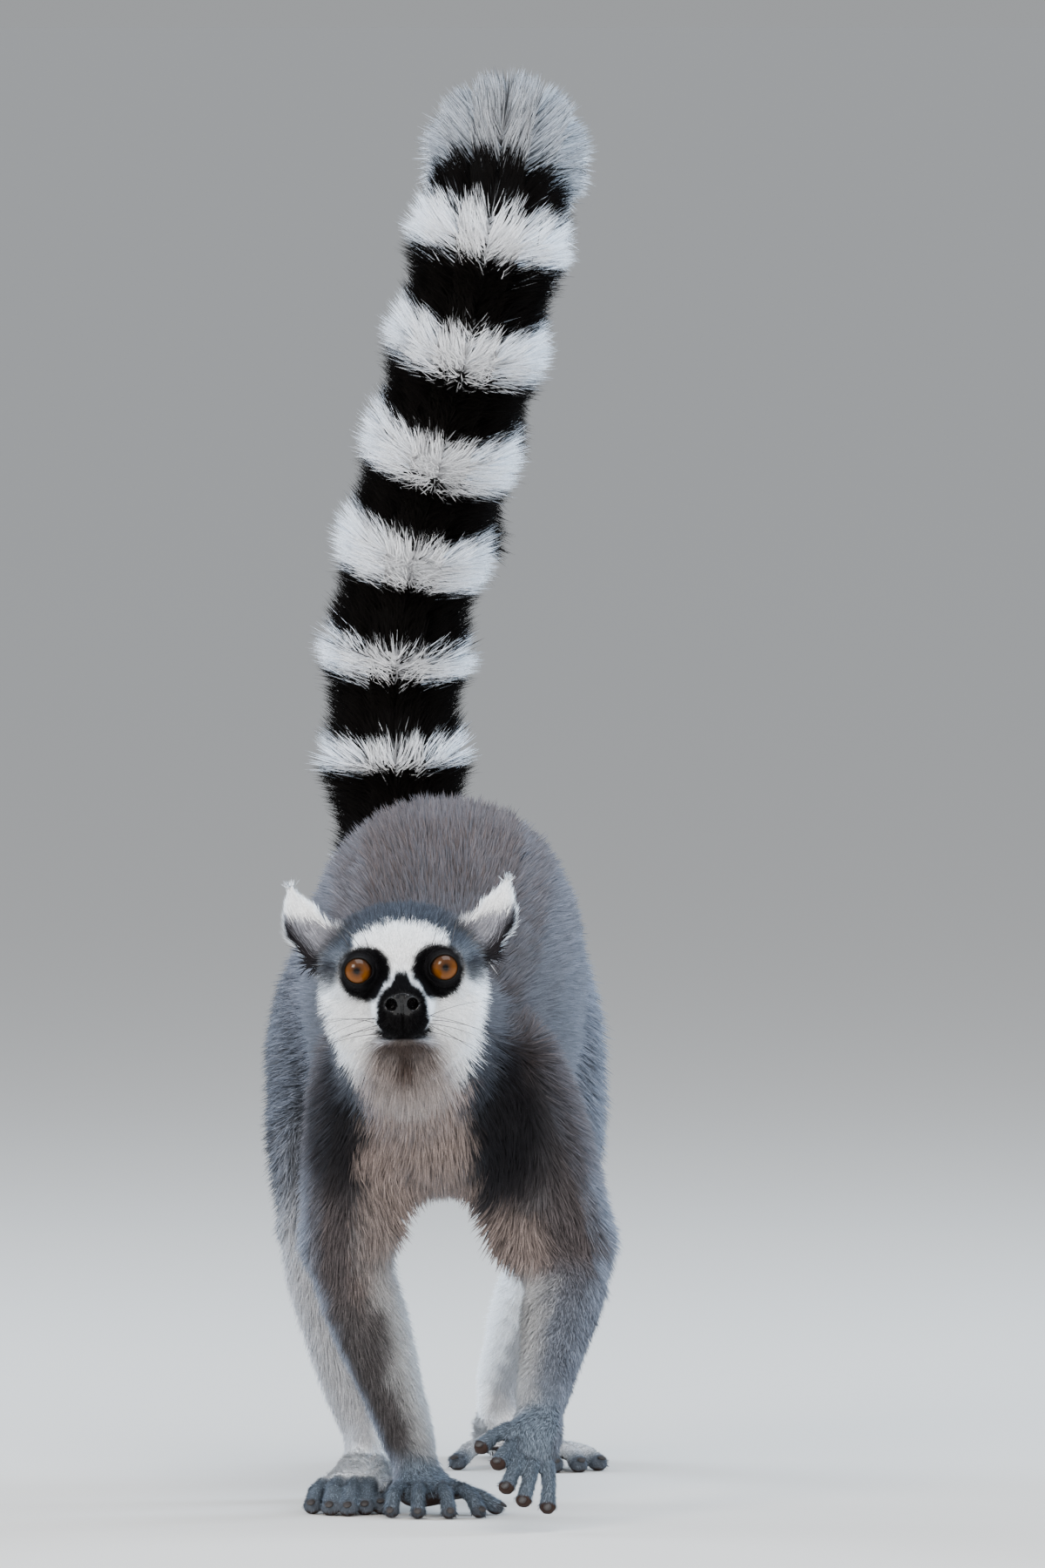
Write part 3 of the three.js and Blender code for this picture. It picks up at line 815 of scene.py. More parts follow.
LID_OPENING = (5.4, 5.1)  # half width and half height of the open eye
LID_REACH = 13.0  # the skin is drawn to the eyeball this far from its axis
LID_PROUD = 0.8  # thickness of the lids over the eyeball
LID_ROUND = 7.2  # the skin follows the eyeball this far from its axis, and then falls away
LID_FOLD_AT = 7.3  # how far from that axis the crease of the lids stands out
NOSTRIL_AT = (4.3, -12.8)
MOUTH_LINE = -26.4


def fit_lids(q):
    """Lays the skin round each eye over the eyeball, and takes it behind at the opening."""
    for side in (1, -1):
        d = q - np.array([side * EYE_SPACING / 2, EYE_DEPTH, 0.0])
        r = np.hypot(d[:, 0], d[:, 2])
        reach = EYE_RADIUS + LID_PROUD
        want = -np.sqrt(np.maximum(reach**2 - np.minimum(r, LID_ROUND) ** 2, 0))
        want = want + 0.55 * np.maximum(r - LID_ROUND, 0)
        fold = np.exp(-(((r - LID_FOLD_AT) / 0.4) ** 2)) * (0.45 + 0.55 * ramp(d[:, 2], -2, 3))
        want = want + 0.5 * fold
        opening = np.hypot(d[:, 0] / LID_OPENING[0], d[:, 2] / LID_OPENING[1])
        want = want + 5.0 * ramp(opening, 1.12, 0.9)
        hold = ramp(r, LID_REACH, 8.2) * (d[:, 1] < 18)
        q[:, 1] += hold * (want - d[:, 1])
    return q


def carve_face(mesh):
    """Nostrils with their side slits, the groove below them, whisker pads and the mouth's line."""
    q = to_head(to_body(corners_of(mesh)))
    front = (q[:, 1] < 30) & (np.abs(q[:, 0]) < 45) & (np.abs(q[:, 2]) < 50) & (q[:, 1] > -50)
    f = q[front]
    x, z = np.abs(f[:, 0]), f[:, 2]
    on_snout = ramp(f[:, 1], -22, -31)
    away = np.hypot((x - NOSTRIL_AT[0]) / 1.0, (z - NOSTRIL_AT[1]) / 1.15)
    hole = ramp(away, 2.5, 1.2)
    rim = np.exp(-(((away - 3.1) / 0.8) ** 2)) * ramp(z + 0.6 * x, NOSTRIL_AT[1] - 1, NOSTRIL_AT[1] + 4)
    slit = np.exp(-(((z + 13.2 - 0.35 * (x - 6)) / 0.5) ** 2)) * ramp(x, 4.5, 5.5) * ramp(x, 9, 7.5)
    septum = np.exp(-((x / 0.55) ** 2)) * ramp(z, -9, -12) * ramp(z, MOUTH_LINE, -25)
    f[:, 1] += on_snout * (3.4 * hole - 0.5 * rim + 1.2 * slit + 0.7 * septum)
    pads = np.exp(-(((x - 6.2) / 4.0) ** 2) - ((z + 21) / 3.6) ** 2)
    f[:, 1] -= 1.1 * pads * ramp(f[:, 1], -14, -26)
    mouth = np.exp(-(((z - MOUTH_LINE + 0.02 * x**2) / 0.7) ** 2)) * ramp(f[:, 1], 2, -8) * ramp(x, 15, 12)
    f -= unit(f * (1, 0.6, 0) - (0, -8, 0)) * 1.3 * mouth[:, None]
    q[front] = fit_lids(f)
    move_corners(mesh, to_scene(from_head(q)))


def finer_face(piece):
    """Divides the faces of the muzzle and round the eyes, for the lids and nostrils."""
    select_only(piece)
    mesh = piece.data
    for low, high in (((-32, -45, -34), (32, 16, 14)), ((-14, -45, -30), (14, -18, -3))):
        q = to_head(to_body(corners_of(mesh)))
        inside = ((q > low) & (q < high)).all(1)
        bpy.ops.object.mode_set(mode="EDIT")
        bpy.ops.mesh.select_mode(type="VERT")
        bpy.ops.mesh.select_all(action="DESELECT")
        bpy.ops.object.mode_set(mode="OBJECT")
        mesh.vertices.foreach_set("select", inside)
        bpy.ops.object.mode_set(mode="EDIT")
        bpy.ops.mesh.select_mode(type="FACE")
        bpy.ops.mesh.subdivide(number_cuts=1, smoothness=0.6)
        bpy.ops.object.mode_set(mode="OBJECT")


def colour_layer(mesh, colours):
    layer = mesh.color_attributes.new("coat_colour", "FLOAT_COLOR", "POINT")
    rgba = np.ones((len(colours), 4), np.float32)
    rgba[:, :3] = colours
    layer.data.foreach_set("color", rgba.ravel())


def bare_skin(place):
    """1 where no hair grows: pads, nose, lips and the margins of the lids."""
    q = to_head(place.points)
    head = weight_of(place, "skull", "ruff", "muzzle")
    lids = ramp(eye_distance(q), 7.8, 7.2) * ramp(q[:, 1], 10, 6) * head
    face = head * np.maximum(nose_leather(q), lip_margin(q))
    return np.maximum.reduce([bare_pad(place), face, lids])


def make_skin():
    """The whole hide: cast, set in, carved, thinned to its share of faces, and coloured."""
    skin = cast_body()
    skin.name = skin.data.name = "skin"
    set_in_by_coat(skin.data)
    finer_face(skin)
    carve_face(skin.data)
    faces = len(skin.data.polygons) * 2
    if faces > SKIN_FACES:
        apply_modifier(skin, "DECIMATE", ratio=SKIN_FACES / faces)
    skin.data.polygons.foreach_set("use_smooth", np.ones(len(skin.data.polygons), bool))
    place = surface_place(skin.data)
    bare = bare_skin(place)
    # The skin under the coat takes the coat's markings darkened: painted shade of the coat's depth, and on
    # hands, fingers and toes also their darker skin.
    shade = 1 - (0.35 + 0.25 * weight_of(place, "hand", "fingers", "toes")) * (1 - bare)
    colour_layer(skin.data, coat_marking(place) * shade[:, None])
    skin.data.materials.clear()
    skin.data.materials.append(hide_finish())
    skin.data.materials.append(bare_skin_finish())
    skin.data.materials.append(nose_finish())
    assign_bare(skin.data, bare, nose_leather(to_head(place.points)) * weight_of(place, "muzzle", "skull"))
    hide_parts(*FLESH)
    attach(skin, "root")
    return skin, place


def assign_bare(mesh, bare, nose):
    """Gives bare skin and the nose their own finish, on each face whose corners all lie there."""
    loops = np.zeros(len(mesh.loops), np.int32)
    mesh.loops.foreach_get("vertex_index", loops)
    starts = np.zeros(len(mesh.polygons), np.int32)
    mesh.polygons.foreach_get("loop_start", starts)
    kind = np.where(np.minimum.reduceat(bare[loops], starts) > 0.5, 1, 0)
    kind = np.where(np.minimum.reduceat(nose[loops], starts) > 0.5, 2, kind)
    mesh.polygons.foreach_set("material_index", kind.astype(np.int32))


# ------------------------------------------------------------------ tufts of hair

SPOT = 0.0015  # half a tuft's patch in the flat pattern


def scatter(mesh, place, choose, seed):
    """Roots on the skin: points, normals, picked with choose(place) tufts to the square mm."""
    mesh.calc_loop_triangles()
    corners = np.zeros(len(mesh.loop_triangles) * 3, np.int32)
    mesh.loop_triangles.foreach_get("vertices", corners)
    corners = corners.reshape(-1, 3)
    p = place.points[corners]
    area = 0.5 * np.linalg.norm(np.cross(p[:, 1] - p[:, 0], p[:, 2] - p[:, 0]), axis=1)
    wanted = area * choose[corners].mean(1)
    dice = np.random.default_rng(seed)
    count = int(wanted.sum())
    picked = dice.choice(len(corners), count, p=wanted / wanted.sum())
    a, b = dice.random((2, count))
    flip = a + b > 1
    a[flip], b[flip] = 1 - a[flip], 1 - b[flip]
    shares = np.stack([1 - a - b, a, b], 1)[:, :, None]
    roots = (p[picked] * shares).sum(1)
    normals = unit((place.normals[corners[picked]] * shares).sum(1))
    return roots, normals


SPIKE_FACES = np.array([(2, 1, 0), (0, 1, 3), (1, 2, 3), (2, 0, 3)])
SPIKE_PATCH = np.array([(-1, -1), (1, -1), (0, -0.6), (0, 1)])
ROOT_SUNK = 0.3  # mm that the foot of a tuft reaches into the skin
TIP_LIGHT = 1.06  # a tuft's tip beside its own colour


def grow(name, roots, normals, tufts):
    """Builds the tufts as one mesh of closed three-sided spikes, each with its ridge outward."""
    n = len(roots)
    way, lift = tufts["way"], tufts["lift"][:, None]
    length, width = tufts["length"][:, None], tufts["width"][:, None]
    side = unit(np.cross(way, normals))
    foot = roots - normals * ROOT_SUNK
    ridge = normals * np.cos(lift) - way * np.sin(lift)
    tip = roots + (way * np.cos(lift) + normals * np.sin(lift)) * length + tufts["drawn"]
    tip[:, 2] = np.maximum(tip[:, 2], 0.1)
    places = np.stack([foot + side * width / 2, foot - side * width / 2, foot + ridge * width / 2, tip], 1)
    lean = normals + tufts["glint"]
    facing = np.stack([lean + 0.45 * side, lean - 0.45 * side, lean, lean + 0.25 * way], 1)

    mesh = bpy.data.meshes.new(name)
    mesh.vertices.add(n * 4)
    mesh.vertices.foreach_set("co", to_scene(places.reshape(-1, 3)).astype(np.float32).ravel())
    loops = (SPIKE_FACES[None] + np.arange(n)[:, None, None] * 4).reshape(-1)
    mesh.loops.add(len(loops))
    mesh.loops.foreach_set("vertex_index", loops.astype(np.int32))
    mesh.polygons.add(len(loops) // 3)
    mesh.polygons.foreach_set("loop_start", np.arange(0, len(loops), 3, dtype=np.int32))
    mesh.polygons.foreach_set("use_smooth", np.ones(len(loops) // 3, bool))
    mesh.update(calc_edges=True)

    spots = tufts["spot"][:, None, :] + SPOT * SPIKE_PATCH
    layer = mesh.uv_layers.new(name="OFBake")
    layer.data.foreach_set("uv", spots.reshape(-1, 2)[loops].astype(np.float32).ravel())

    # A tuft's foot is darker than its tip: partly the darker underfur, partly painted shade deep in the coat.
    shade = np.repeat(tufts["dark"][:, None], 4, 1)
    shade[:, 3] = TIP_LIGHT
    colours = np.clip(tufts["colour"][:, None, :] * shade[:, :, None], 0, 1)
    colour_layer(mesh, colours.reshape(-1, 3))
    mesh.normals_split_custom_set_from_vertices(unit(facing).reshape(-1, 3).astype(np.float32))

    coat = link(mesh, name)
    mesh.materials.append(coat_finish(name))
    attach(coat, "root")
    return coat


def clump(roots, tips, size, pull, seed):
    """How far each tip is drawn to its lock's own tip. Locks are about size mm apart."""
    dice = np.random.default_rng(seed)
    warped = roots + 0.45 * size * np.stack([mottle(roots, 2.5 * size, seed + k) for k in range(3)], 1)
    cell = np.floor(warped / size).astype(np.int64)
    key = (cell[:, 0] * 73856093) ^ (cell[:, 1] * 19349663) ^ (cell[:, 2] * 83492791)
    _, lock = np.unique(key, return_inverse=True)
    count = np.bincount(lock)
    middle = np.stack([np.bincount(lock, tips[:, k]) / count for k in range(3)], 1)
    middle += dice.normal(size=middle.shape) * 0.12 * size
    drawn = (middle[lock] - tips) * pull
    far = np.linalg.norm(drawn, axis=1, keepdims=True)
    return drawn * np.minimum(1, 0.6 * size / np.maximum(far, 1e-6))


def comb(roots, normals, seed, lock_size, pull):
    """The tufts of one stretch of coat: which way each points, its size and its colours."""
    dice = np.random.default_rng(seed)
    place = place_on_body(roots, normals)
    n = len(roots)
    hair = hair_length(place)
    lift = np.arcsin(np.clip(coat_depth(place) / hair, 0.1, 0.87)) + 0.13 * dice.normal(size=n)
    waves = np.stack([mottle(roots, 22, seed + 5 + k) for k in range(3)], 1)
    way = lie_of_coat(place) + 0.15 * waves + 0.17 * dice.normal(size=(n, 3))
    way = unit(way - (way * normals).sum(1, keepdims=True) * normals)
    length = hair * np.clip(1 + 0.16 * dice.normal(size=n), 0.6, 1.3)
    reach = (way * np.cos(lift)[:, None] + normals * np.sin(lift)[:, None]) * length[:, None]
    # A tuft has the colour of the place where its outer half shows.
    tail = np.array(NAMES)[place.part] == "tail"
    stray = 0.11 * hair[:, None] * dice.normal(size=(n, 3))
    further = place.share + tail * (0.75 * length * np.cos(lift) + stray[:, 0]) / TAIL_LENGTH
    colour = coat_marking(place._replace(points=roots + 0.75 * reach + stray, share=further))
    shade = colour.mean(1)
    grey = ramp(shade, 0.012, 0.04) * ramp(shade, 0.34, 0.16)
    tick = 1 + (0.09 + 0.13 * grey) * dice.normal(size=n)
    chance = dice.random(n)
    tick = np.where(chance < 0.13 * grey, 0.5, np.where(chance > 1 - 0.1 * grey, 1.7, tick))
    locks = 1 + 0.07 * mottle(roots, 3.2, seed + 9)
    width = blended(place, "width") * np.clip(hair / np.maximum(blended(place, "hair"), 1), 0.5, 1.2)
    return {
        "way": way,
        "lift": lift,
        "length": length,
        "width": width * dice.uniform(0.75, 1.25, n),
        "colour": colour * (np.clip(tick, 0.4, 1.8) * locks)[:, None],
        # Darker feet of the tufts, less so on pale hair: partly the real darker underfur, partly painted
        # shade in the coat's depth.
        "dark": 0.68 - 0.13 * ramp(hair, 4, 14) + 0.2 * ramp(shade, 0.3, 0.8),
        "drawn": clump(roots, roots + reach, lock_size, pull, seed + 20),
        "glint": 0.16 * dice.normal(size=(n, 3)),
        "spot": place.spot,
    }


def everywhere(place):
    return np.ones(len(place.points))


def above(place):
    """The back, from the line half way down the flank."""
    return (place.points[:, 2] > 190 + 0.14 * place.points[:, 1]).astype(float)


def below(place):
    return 1 - above(place)


def tail_stretch(start, end):
    return lambda place: ((place.share >= start) & (place.share < end)).astype(float)


def on_ruff(place):
    q = to_head(place.points)
    return ((q[:, 1] > 14) | (q[:, 2] < -30)).astype(float)


def on_face(place):
    return 1 - on_ruff(place)


# Each stretch: its name, the parts it covers, a further test, the size of its locks in mm, how far
# their tips draw together, and its material slot.
COATS = [
    ("coat_back", ("trunk",), above, 2.4, 0.08, "back_fur"),
    ("coat_belly", ("trunk",), below, 2.4, 0.1, "grey_fur"),
    ("coat_neck", ("neck",), everywhere, 3.4, 0.28, "grey_fur"),
    ("coat_face", ("skull", "ruff", "muzzle"), on_face, 1.4, 0.1, "face_fur"),
    ("coat_ruff", ("skull", "ruff", "muzzle"), on_ruff, 2.4, 0.22, "face_fur"),
    ("coat_ears", ("ear",), everywhere, 2.0, 0.3, "white_fur"),
    *(
        (f"coat_{limb}_{side}", (f"{upper}_{side}", f"{lower}_{side}"), everywhere, size, pull, slot)
        for limb, upper, lower, size, pull, slot in (
            ("arm", "upper_arm", "forearm", 2.0, 0.08, "grey_fur"),
            ("hand", "hand", "fingers", 1.5, 0.15, "hand_skin"),
            ("leg", "thigh", "shank", 2.2, 0.08, "white_fur"),
            ("foot", "foot", "toes", 1.6, 0.15, "white_fur"),
        )
        for side in ("left", "right")
    ),
    ("coat_tail_root", ("tail",), tail_stretch(0, 0.25), 2.8, 0.13, "tail_fur"),
    ("coat_tail_lower", ("tail",), tail_stretch(0.25, 0.5), 2.8, 0.13, "tail_fur"),
    ("coat_tail_upper", ("tail",), tail_stretch(0.5, 0.75), 2.8, 0.13, "tail_fur"),
    ("coat_tail_end", ("tail",), tail_stretch(0.75, 1.01), 2.8, 0.13, "tail_fur"),
]
COAT_SHARE = 0.97  # of the tufts planned, for a million and a half triangles
FLOOR_CLEAR = 1.2  # no tuft roots lower than this, where the pads press on the floor


ROOT_SEED, COMB_SEED, SEEDS_APART = 100, 1000, 50


def grow_coats(skin, place):
    hairy = (1 - ramp(bare_skin(place), 0.35, 0.65)) * (place.points[:, 2] > FLOOR_CLEAR)
    thick = blended(place, "thick") * hairy
    for seed, (name, starts, where, size, pull, slot) in enumerate(COATS):
        led = [any(part.startswith(s) for s in starts) for part in NAMES]
        choose = thick * np.array(led)[place.part] * where(place) * COAT_SHARE
        roots, normals = scatter(skin.data, place, choose, ROOT_SEED + seed)
        tufts = comb(roots, normals, COMB_SEED + SEEDS_APART * seed, size, pull)
        grow(name, roots, normals, tufts)
        print(name, len(roots), "tufts")


# ------------------------------------------------------------------ finishes


def add_node(tree, kind, settings=None, links=None):
    """Adds a node with its settings. links names its input sockets and what feeds each."""
    node = tree.nodes.new(kind)
    for key, value in (settings or {}).items():
        if isinstance(key, str) and hasattr(node, key):
            setattr(node, key, value)
        else:
            node.inputs[key].default_value = value
    for key, source in (links or {}).items():
        tree.links.new(source, node.inputs[key])
    return node


def new_finish(name, settings):
    """A material of one surface with these settings. Its tree and surface come with it."""
    finish = bpy.data.materials.new(name)
    finish.use_nodes = True
    tree = finish.node_tree
    tree.nodes.clear()
    output = add_node(tree, "ShaderNodeOutputMaterial")
    surface = add_node(tree, "ShaderNodeBsdfPrincipled", settings)
    tree.links.new(surface.outputs["BSDF"], output.inputs["Surface"])
    return finish, tree, surface


def per_metre(size_mm):
    """The scale of a pattern on object coordinates whose lumps are size_mm across."""
    return 1 / (size_mm * MM)


DULL_COATS = ("coat_face", "coat_ruff", "coat_ears", "coat_tail")  # black and white hair, without sheen


def coat_finish(name):
    """Guard hair: dry keratin, matt in the mass, with a soft sheen where light skims it. The finer
    noise is the banding of single hairs, and the coarser one how the coat lies in the light."""
    dull_hair = name.startswith(DULL_COATS)
    look = {
        "Specular IOR Level": 0.04 if dull_hair else 0.15,
        "Sheen Weight": 0.0 if dull_hair else 0.1,
        "Sheen Roughness": 0.4,
        "Sheen Tint": (*srgb("DDE8FA"), 1),
    }
    finish, tree, surface = new_finish("hair_of_" + name, look)
    marking = add_node(tree, "ShaderNodeAttribute", {"attribute_name": "coat_colour"})
    where = add_node(tree, "ShaderNodeTexCoord")
    bands = add_node(
        tree,
        "ShaderNodeTexNoise",
        {"Scale": per_metre(0.7), "Detail": 2.0, "Roughness": 0.6},
        {"Vector": where.outputs["Object"]},
    )
    bright = add_node(
        tree,
        "ShaderNodeMapRange",
        {"From Min": 0.3, "From Max": 0.7, "To Min": 0.76, "To Max": 1.24},
        {"Value": bands.outputs["Fac"]},
    )
    tinted = add_node(
        tree,
        "ShaderNodeHueSaturation",
        {},
        {"Color": marking.outputs["Color"], "Value": bright.outputs["Result"]},
    )
    drifts = add_node(
        tree,
        "ShaderNodeTexNoise",
        {"Scale": per_metre(9.0), "Detail": 2.0},
        {"Vector": where.outputs["Object"]},
    )
    dull = add_node(
        tree,
        "ShaderNodeMapRange",
        {"From Min": 0.3, "From Max": 0.7, "To Min": 0.5, "To Max": 0.75},
        {"Value": drifts.outputs["Fac"]},
    )
    tree.links.new(tinted.outputs["Color"], surface.inputs["Base Color"])
    tree.links.new(dull.outputs["Result"], surface.inputs["Roughness"])
    return finish


def hide_finish():
    """The hide under the coat: matt, with the coat's own markings, darkened as painted shade of the coat's
    depth, and the grain of hair roots.
    """
    finish, tree, surface = new_finish("furred_hide", {"Roughness": 0.9, "Specular IOR Level": 0.2})
    marking = add_node(tree, "ShaderNodeAttribute", {"attribute_name": "coat_colour"})
    where = add_node(tree, "ShaderNodeTexCoord")
    roots = add_node(
        tree,
        "ShaderNodeTexNoise",
        {"Scale": per_metre(0.8), "Detail": 4.0},
        {"Vector": where.outputs["Object"]},
    )
    bump = add_node(
        tree,
        "ShaderNodeBump",
        {"Strength": 0.5, "Distance": 0.4 * MM},
        {"Height": roots.outputs["Fac"]},
    )
    tree.links.new(marking.outputs["Color"], surface.inputs["Base Color"])
    tree.links.new(bump.outputs["Normal"], surface.inputs["Normal"])
    return finish


def skin_of_cells(name, cell_mm, depth_mm, roughness, specular):
    """Bare skin coloured by its markings, with a relief of small cells."""
    finish, tree, surface = new_finish(name, {"Specular IOR Level": specular})
    marking = add_node(tree, "ShaderNodeAttribute", {"attribute_name": "coat_colour"})
    where = add_node(tree, "ShaderNodeTexCoord")
    cells = add_node(
        tree,
        "ShaderNodeTexVoronoi",
        {"Scale": per_metre(cell_mm)},
        {"Vector": where.outputs["Object"]},
    )
    bump = add_node(
        tree,
        "ShaderNodeBump",
        {"Strength": 0.4, "Distance": depth_mm * MM},
        {"Height": cells.outputs["Distance"]},
    )
    gloss = add_node(
        tree,
        "ShaderNodeMapRange",
        {"To Min": roughness - 0.08, "To Max": roughness + 0.1},
        {"Value": cells.outputs["Distance"]},
    )
    tree.links.new(marking.outputs["Color"], surface.inputs["Base Color"])
    tree.links.new(gloss.outputs["Result"], surface.inputs["Roughness"])
    tree.links.new(bump.outputs["Normal"], surface.inputs["Normal"])
    return finish


def bare_skin_finish():
    """Bare skin of pads and lips: dry and fine-celled, so it barely shines."""
    return skin_of_cells("bare_pad_skin", 0.6, 0.1, 0.7, 0.12)


def nose_finish():
    """The nose: black leathery skin kept wet, so it shines over its cells."""
    return skin_of_cells("wet_nose_leather", 0.7, 0.08, 0.24, 0.4)


# The eye's colours outward from its axis, as shares of IRIS_SPAN.
IRIS_SPAN = 8.0
IRIS_BANDS = [
    (0.0, "020101"),
    (0.12, "030201"),
    (0.155, "241204"),
    (0.28, "482705"),
    (0.46, "5E3405"),
    (0.6, "4C2905"),
    (0.68, "241205"),
    (0.74, "0A0605"),
    (1.0, "080606"),
]


def eye_finish(side):
    """The wet eye: an amber iris with a small pupil and a dark rim, under a clear gloss. Its upper
    half is darker, in the shade of lid and brow."""
    look = {
        "Roughness": 0.4,
        "Specular IOR Level": 0.1,
        "Coat Weight": 0.7,
        "Coat Roughness": 0.03,
        "Coat IOR": 1.34,
    }
    finish, tree, surface = new_finish(f"wet_amber_eye_{side}", look)
    where = add_node(tree, "ShaderNodeTexCoord")
    turn = Matrix.Rotation(-EYE_OUTWARD * SIGN[side], 4, "Z")
    centre = turn @ Vector(eye_centre(side))
    on_eye = add_node(
        tree,
        "ShaderNodeMapping",
        {"Location": -centre, "Rotation": turn.to_euler()},
        {"Vector": where.outputs["Object"]},
    )
    flat = add_node(tree, "ShaderNodeVectorMath", {"operation": "MULTIPLY"}, {0: on_eye.outputs["Vector"]})
    flat.inputs[1].default_value = (1, 0, 1)
    radius = add_node(tree, "ShaderNodeVectorMath", {"operation": "LENGTH"}, {0: flat.outputs["Vector"]})
    streaks = add_node(
        tree,
        "ShaderNodeTexNoise",
        {"Scale": per_metre(0.9), "Detail": 5.0},
        {"Vector": flat.outputs["Vector"]},
    )
    ragged = add_node(
        tree,
        "ShaderNodeMath",
        {"operation": "MULTIPLY_ADD", 1: 0.8 * MM},
        {0: streaks.outputs["Fac"], 2: radius.outputs["Value"]},
    )
    share = add_node(
        tree,
        "ShaderNodeMapRange",
        {"From Min": 0.4 * MM, "From Max": (IRIS_SPAN + 0.4) * MM},
        {"Value": ragged.outputs["Value"]},
    )
    bands = add_node(tree, "ShaderNodeValToRGB", {}, {"Fac": share.outputs["Result"]})
    stops = bands.color_ramp.elements
    while len(stops) < len(IRIS_BANDS):
        stops.new(1.0)
    for stop, (at, code) in zip(stops, IRIS_BANDS):
        stop.position = at
        stop.color = (*srgb(code), 1)
    parts = add_node(tree, "ShaderNodeSeparateXYZ", {}, {"Vector": on_eye.outputs["Vector"]})
    lit = add_node(
        tree,
        "ShaderNodeMapRange",
        {"From Min": 3.5 * MM, "From Max": -1.5 * MM, "To Min": 0.4, "To Max": 1.15},
        {"Value": parts.outputs["Z"]},
    )
    shaded = add_node(
        tree, "ShaderNodeHueSaturation", {}, {"Color": bands.outputs["Color"], "Value": lit.outputs["Result"]}
    )
    tree.links.new(shaded.outputs["Color"], surface.inputs["Base Color"])
    return finish


def plain_horn_finish(name, code, roughness):
    """Keratin of nails and whiskers: smooth, faintly cloudy."""
    finish, tree, surface = new_finish(name, {"Roughness": roughness})
    where = add_node(tree, "ShaderNodeTexCoord")
    cloud = add_node(
        tree,
        "ShaderNodeTexNoise",
        {"Scale": per_metre(2.0)},
        {"Vector": where.outputs["Object"]},
    )
    shades = add_node(tree, "ShaderNodeMix", {"data_type": "RGBA"}, {0: cloud.outputs["Fac"]})
    shades.inputs[6].default_value = (*srgb(code) * 0.7, 1)
    shades.inputs[7].default_value = (*srgb(code) * 1.3, 1)
    tree.links.new(shades.outputs[2], surface.inputs["Base Color"])
    return finish


# ------------------------------------------------------------------ eyes and lids

EYE_OUTWARD = math.radians(4)  # each eye looks this much to its own side
CORNEA_BULGE = 0.7
SIGN = {"left": 1, "right": -1}


def eye_centre(side):
    return to_scene(from_head([SIGN[side] * EYE_SPACING / 2, EYE_DEPTH, 0]))


def finish_piece(piece, material, slot, *nodes):
    """Puts a made piece's place into its mesh, and ties it to the frame."""
    select_only(piece)
    bpy.ops.object.transform_apply(location=True, rotation=True, scale=True)
    bpy.ops.object.shade_smooth()
    piece.data.materials.clear()
    piece.data.materials.append(material)
    if nodes:
        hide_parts(*nodes)
    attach(piece, "root")
    return piece


def make_eyeball(side):
    """A ball whose clear front stands a little further out than the rest."""
    eye = new_ball(EYE_RADIUS, 64, 32)
    eye.name = eye.data.name = f"eyeball_{side}"
    look = np.array([math.sin(EYE_OUTWARD) * SIGN[side], -math.cos(EYE_OUTWARD), 0.0])
    places = corners_of(eye.data)
    facing = unit(places) @ look
    places *= 1 + (CORNEA_BULGE / EYE_RADIUS) * ramp(facing, 0.62, 0.95)[:, None]
    move_corners(eye.data, places)
    eye.location = eye_centre(side)
    return finish_piece(eye, eye_finish(side), "eye", f"eye_{side}")


LID_MARGIN = (0.5, 0.4)  # half breadth and half thickness of the rim of the lids


def make_lid(side):
    """The bare rim of the lids: a ring laid on the eyeball, drawn out at the inner corner."""
    bpy.ops.object.select_all(action="DESELECT")
    bpy.ops.mesh.primitive_torus_add(
        major_radius=1.0,
        minor_radius=0.1,
        major_segments=72,
        minor_segments=14,
        rotation=(math.pi / 2, 0, 0),
    )
    lid = bpy.context.object
    lid.name = lid.data.name = f"eyelid_{side}"
    bpy.ops.object.transform_apply(location=False, rotation=True, scale=False)
    p = corners_of(lid.data)
    across = (np.hypot(p[:, 0], p[:, 2]) - 1.0) * 10
    outward = -p[:, 1] * 10
    angle = np.arctan2(p[:, 2], p[:, 0] * SIGN[side])
    breadth = LID_MARGIN[0] * (1 + 0.35 * ramp(np.sin(angle), 0, 0.9))
    inner = ramp(-np.cos(angle), 0.8, 1.0)
    x = np.cos(angle) * (LID_OPENING[0] + breadth + breadth * across) - 0.8 * inner
    z = np.sin(angle) * (LID_OPENING[1] + breadth + breadth * across) - 0.5 * inner
    height = EYE_RADIUS + 0.45 + LID_MARGIN[1] * outward
    y = -np.sqrt(np.maximum(height**2 - x**2 - z**2, 1.0))
    move_corners(lid.data, np.stack([x * SIGN[side], y, z], 1) @ HEAD_TURN.T * MM)
    lid.location = eye_centre(side)
    finish_piece(lid, bare_lid_finish(side), "muzzle_skin")
    recalc_outside(lid)
    return lid


def bare_lid_finish(side):
    """Bare lid margin: smooth black skin, wet at the edge."""
    look = {"Base Color": (*srgb("070606"), 1), "Roughness": 0.55, "Specular IOR Level": 0.12}
    finish, tree, surface = new_finish(f"wet_lid_margin_{side}", look)
    where = add_node(tree, "ShaderNodeTexCoord")
    folds = add_node(
        tree,
        "ShaderNodeTexNoise",
        {"Scale": per_metre(0.9), "Detail": 3.0},
        {"Vector": where.outputs["Object"]},
    )
    bump = add_node(
        tree,
        "ShaderNodeBump",
        {"Strength": 0.4, "Distance": 0.15 * MM},
        {"Height": folds.outputs["Fac"]},
    )
    tree.links.new(bump.outputs["Normal"], surface.inputs["Normal"])
    return finish


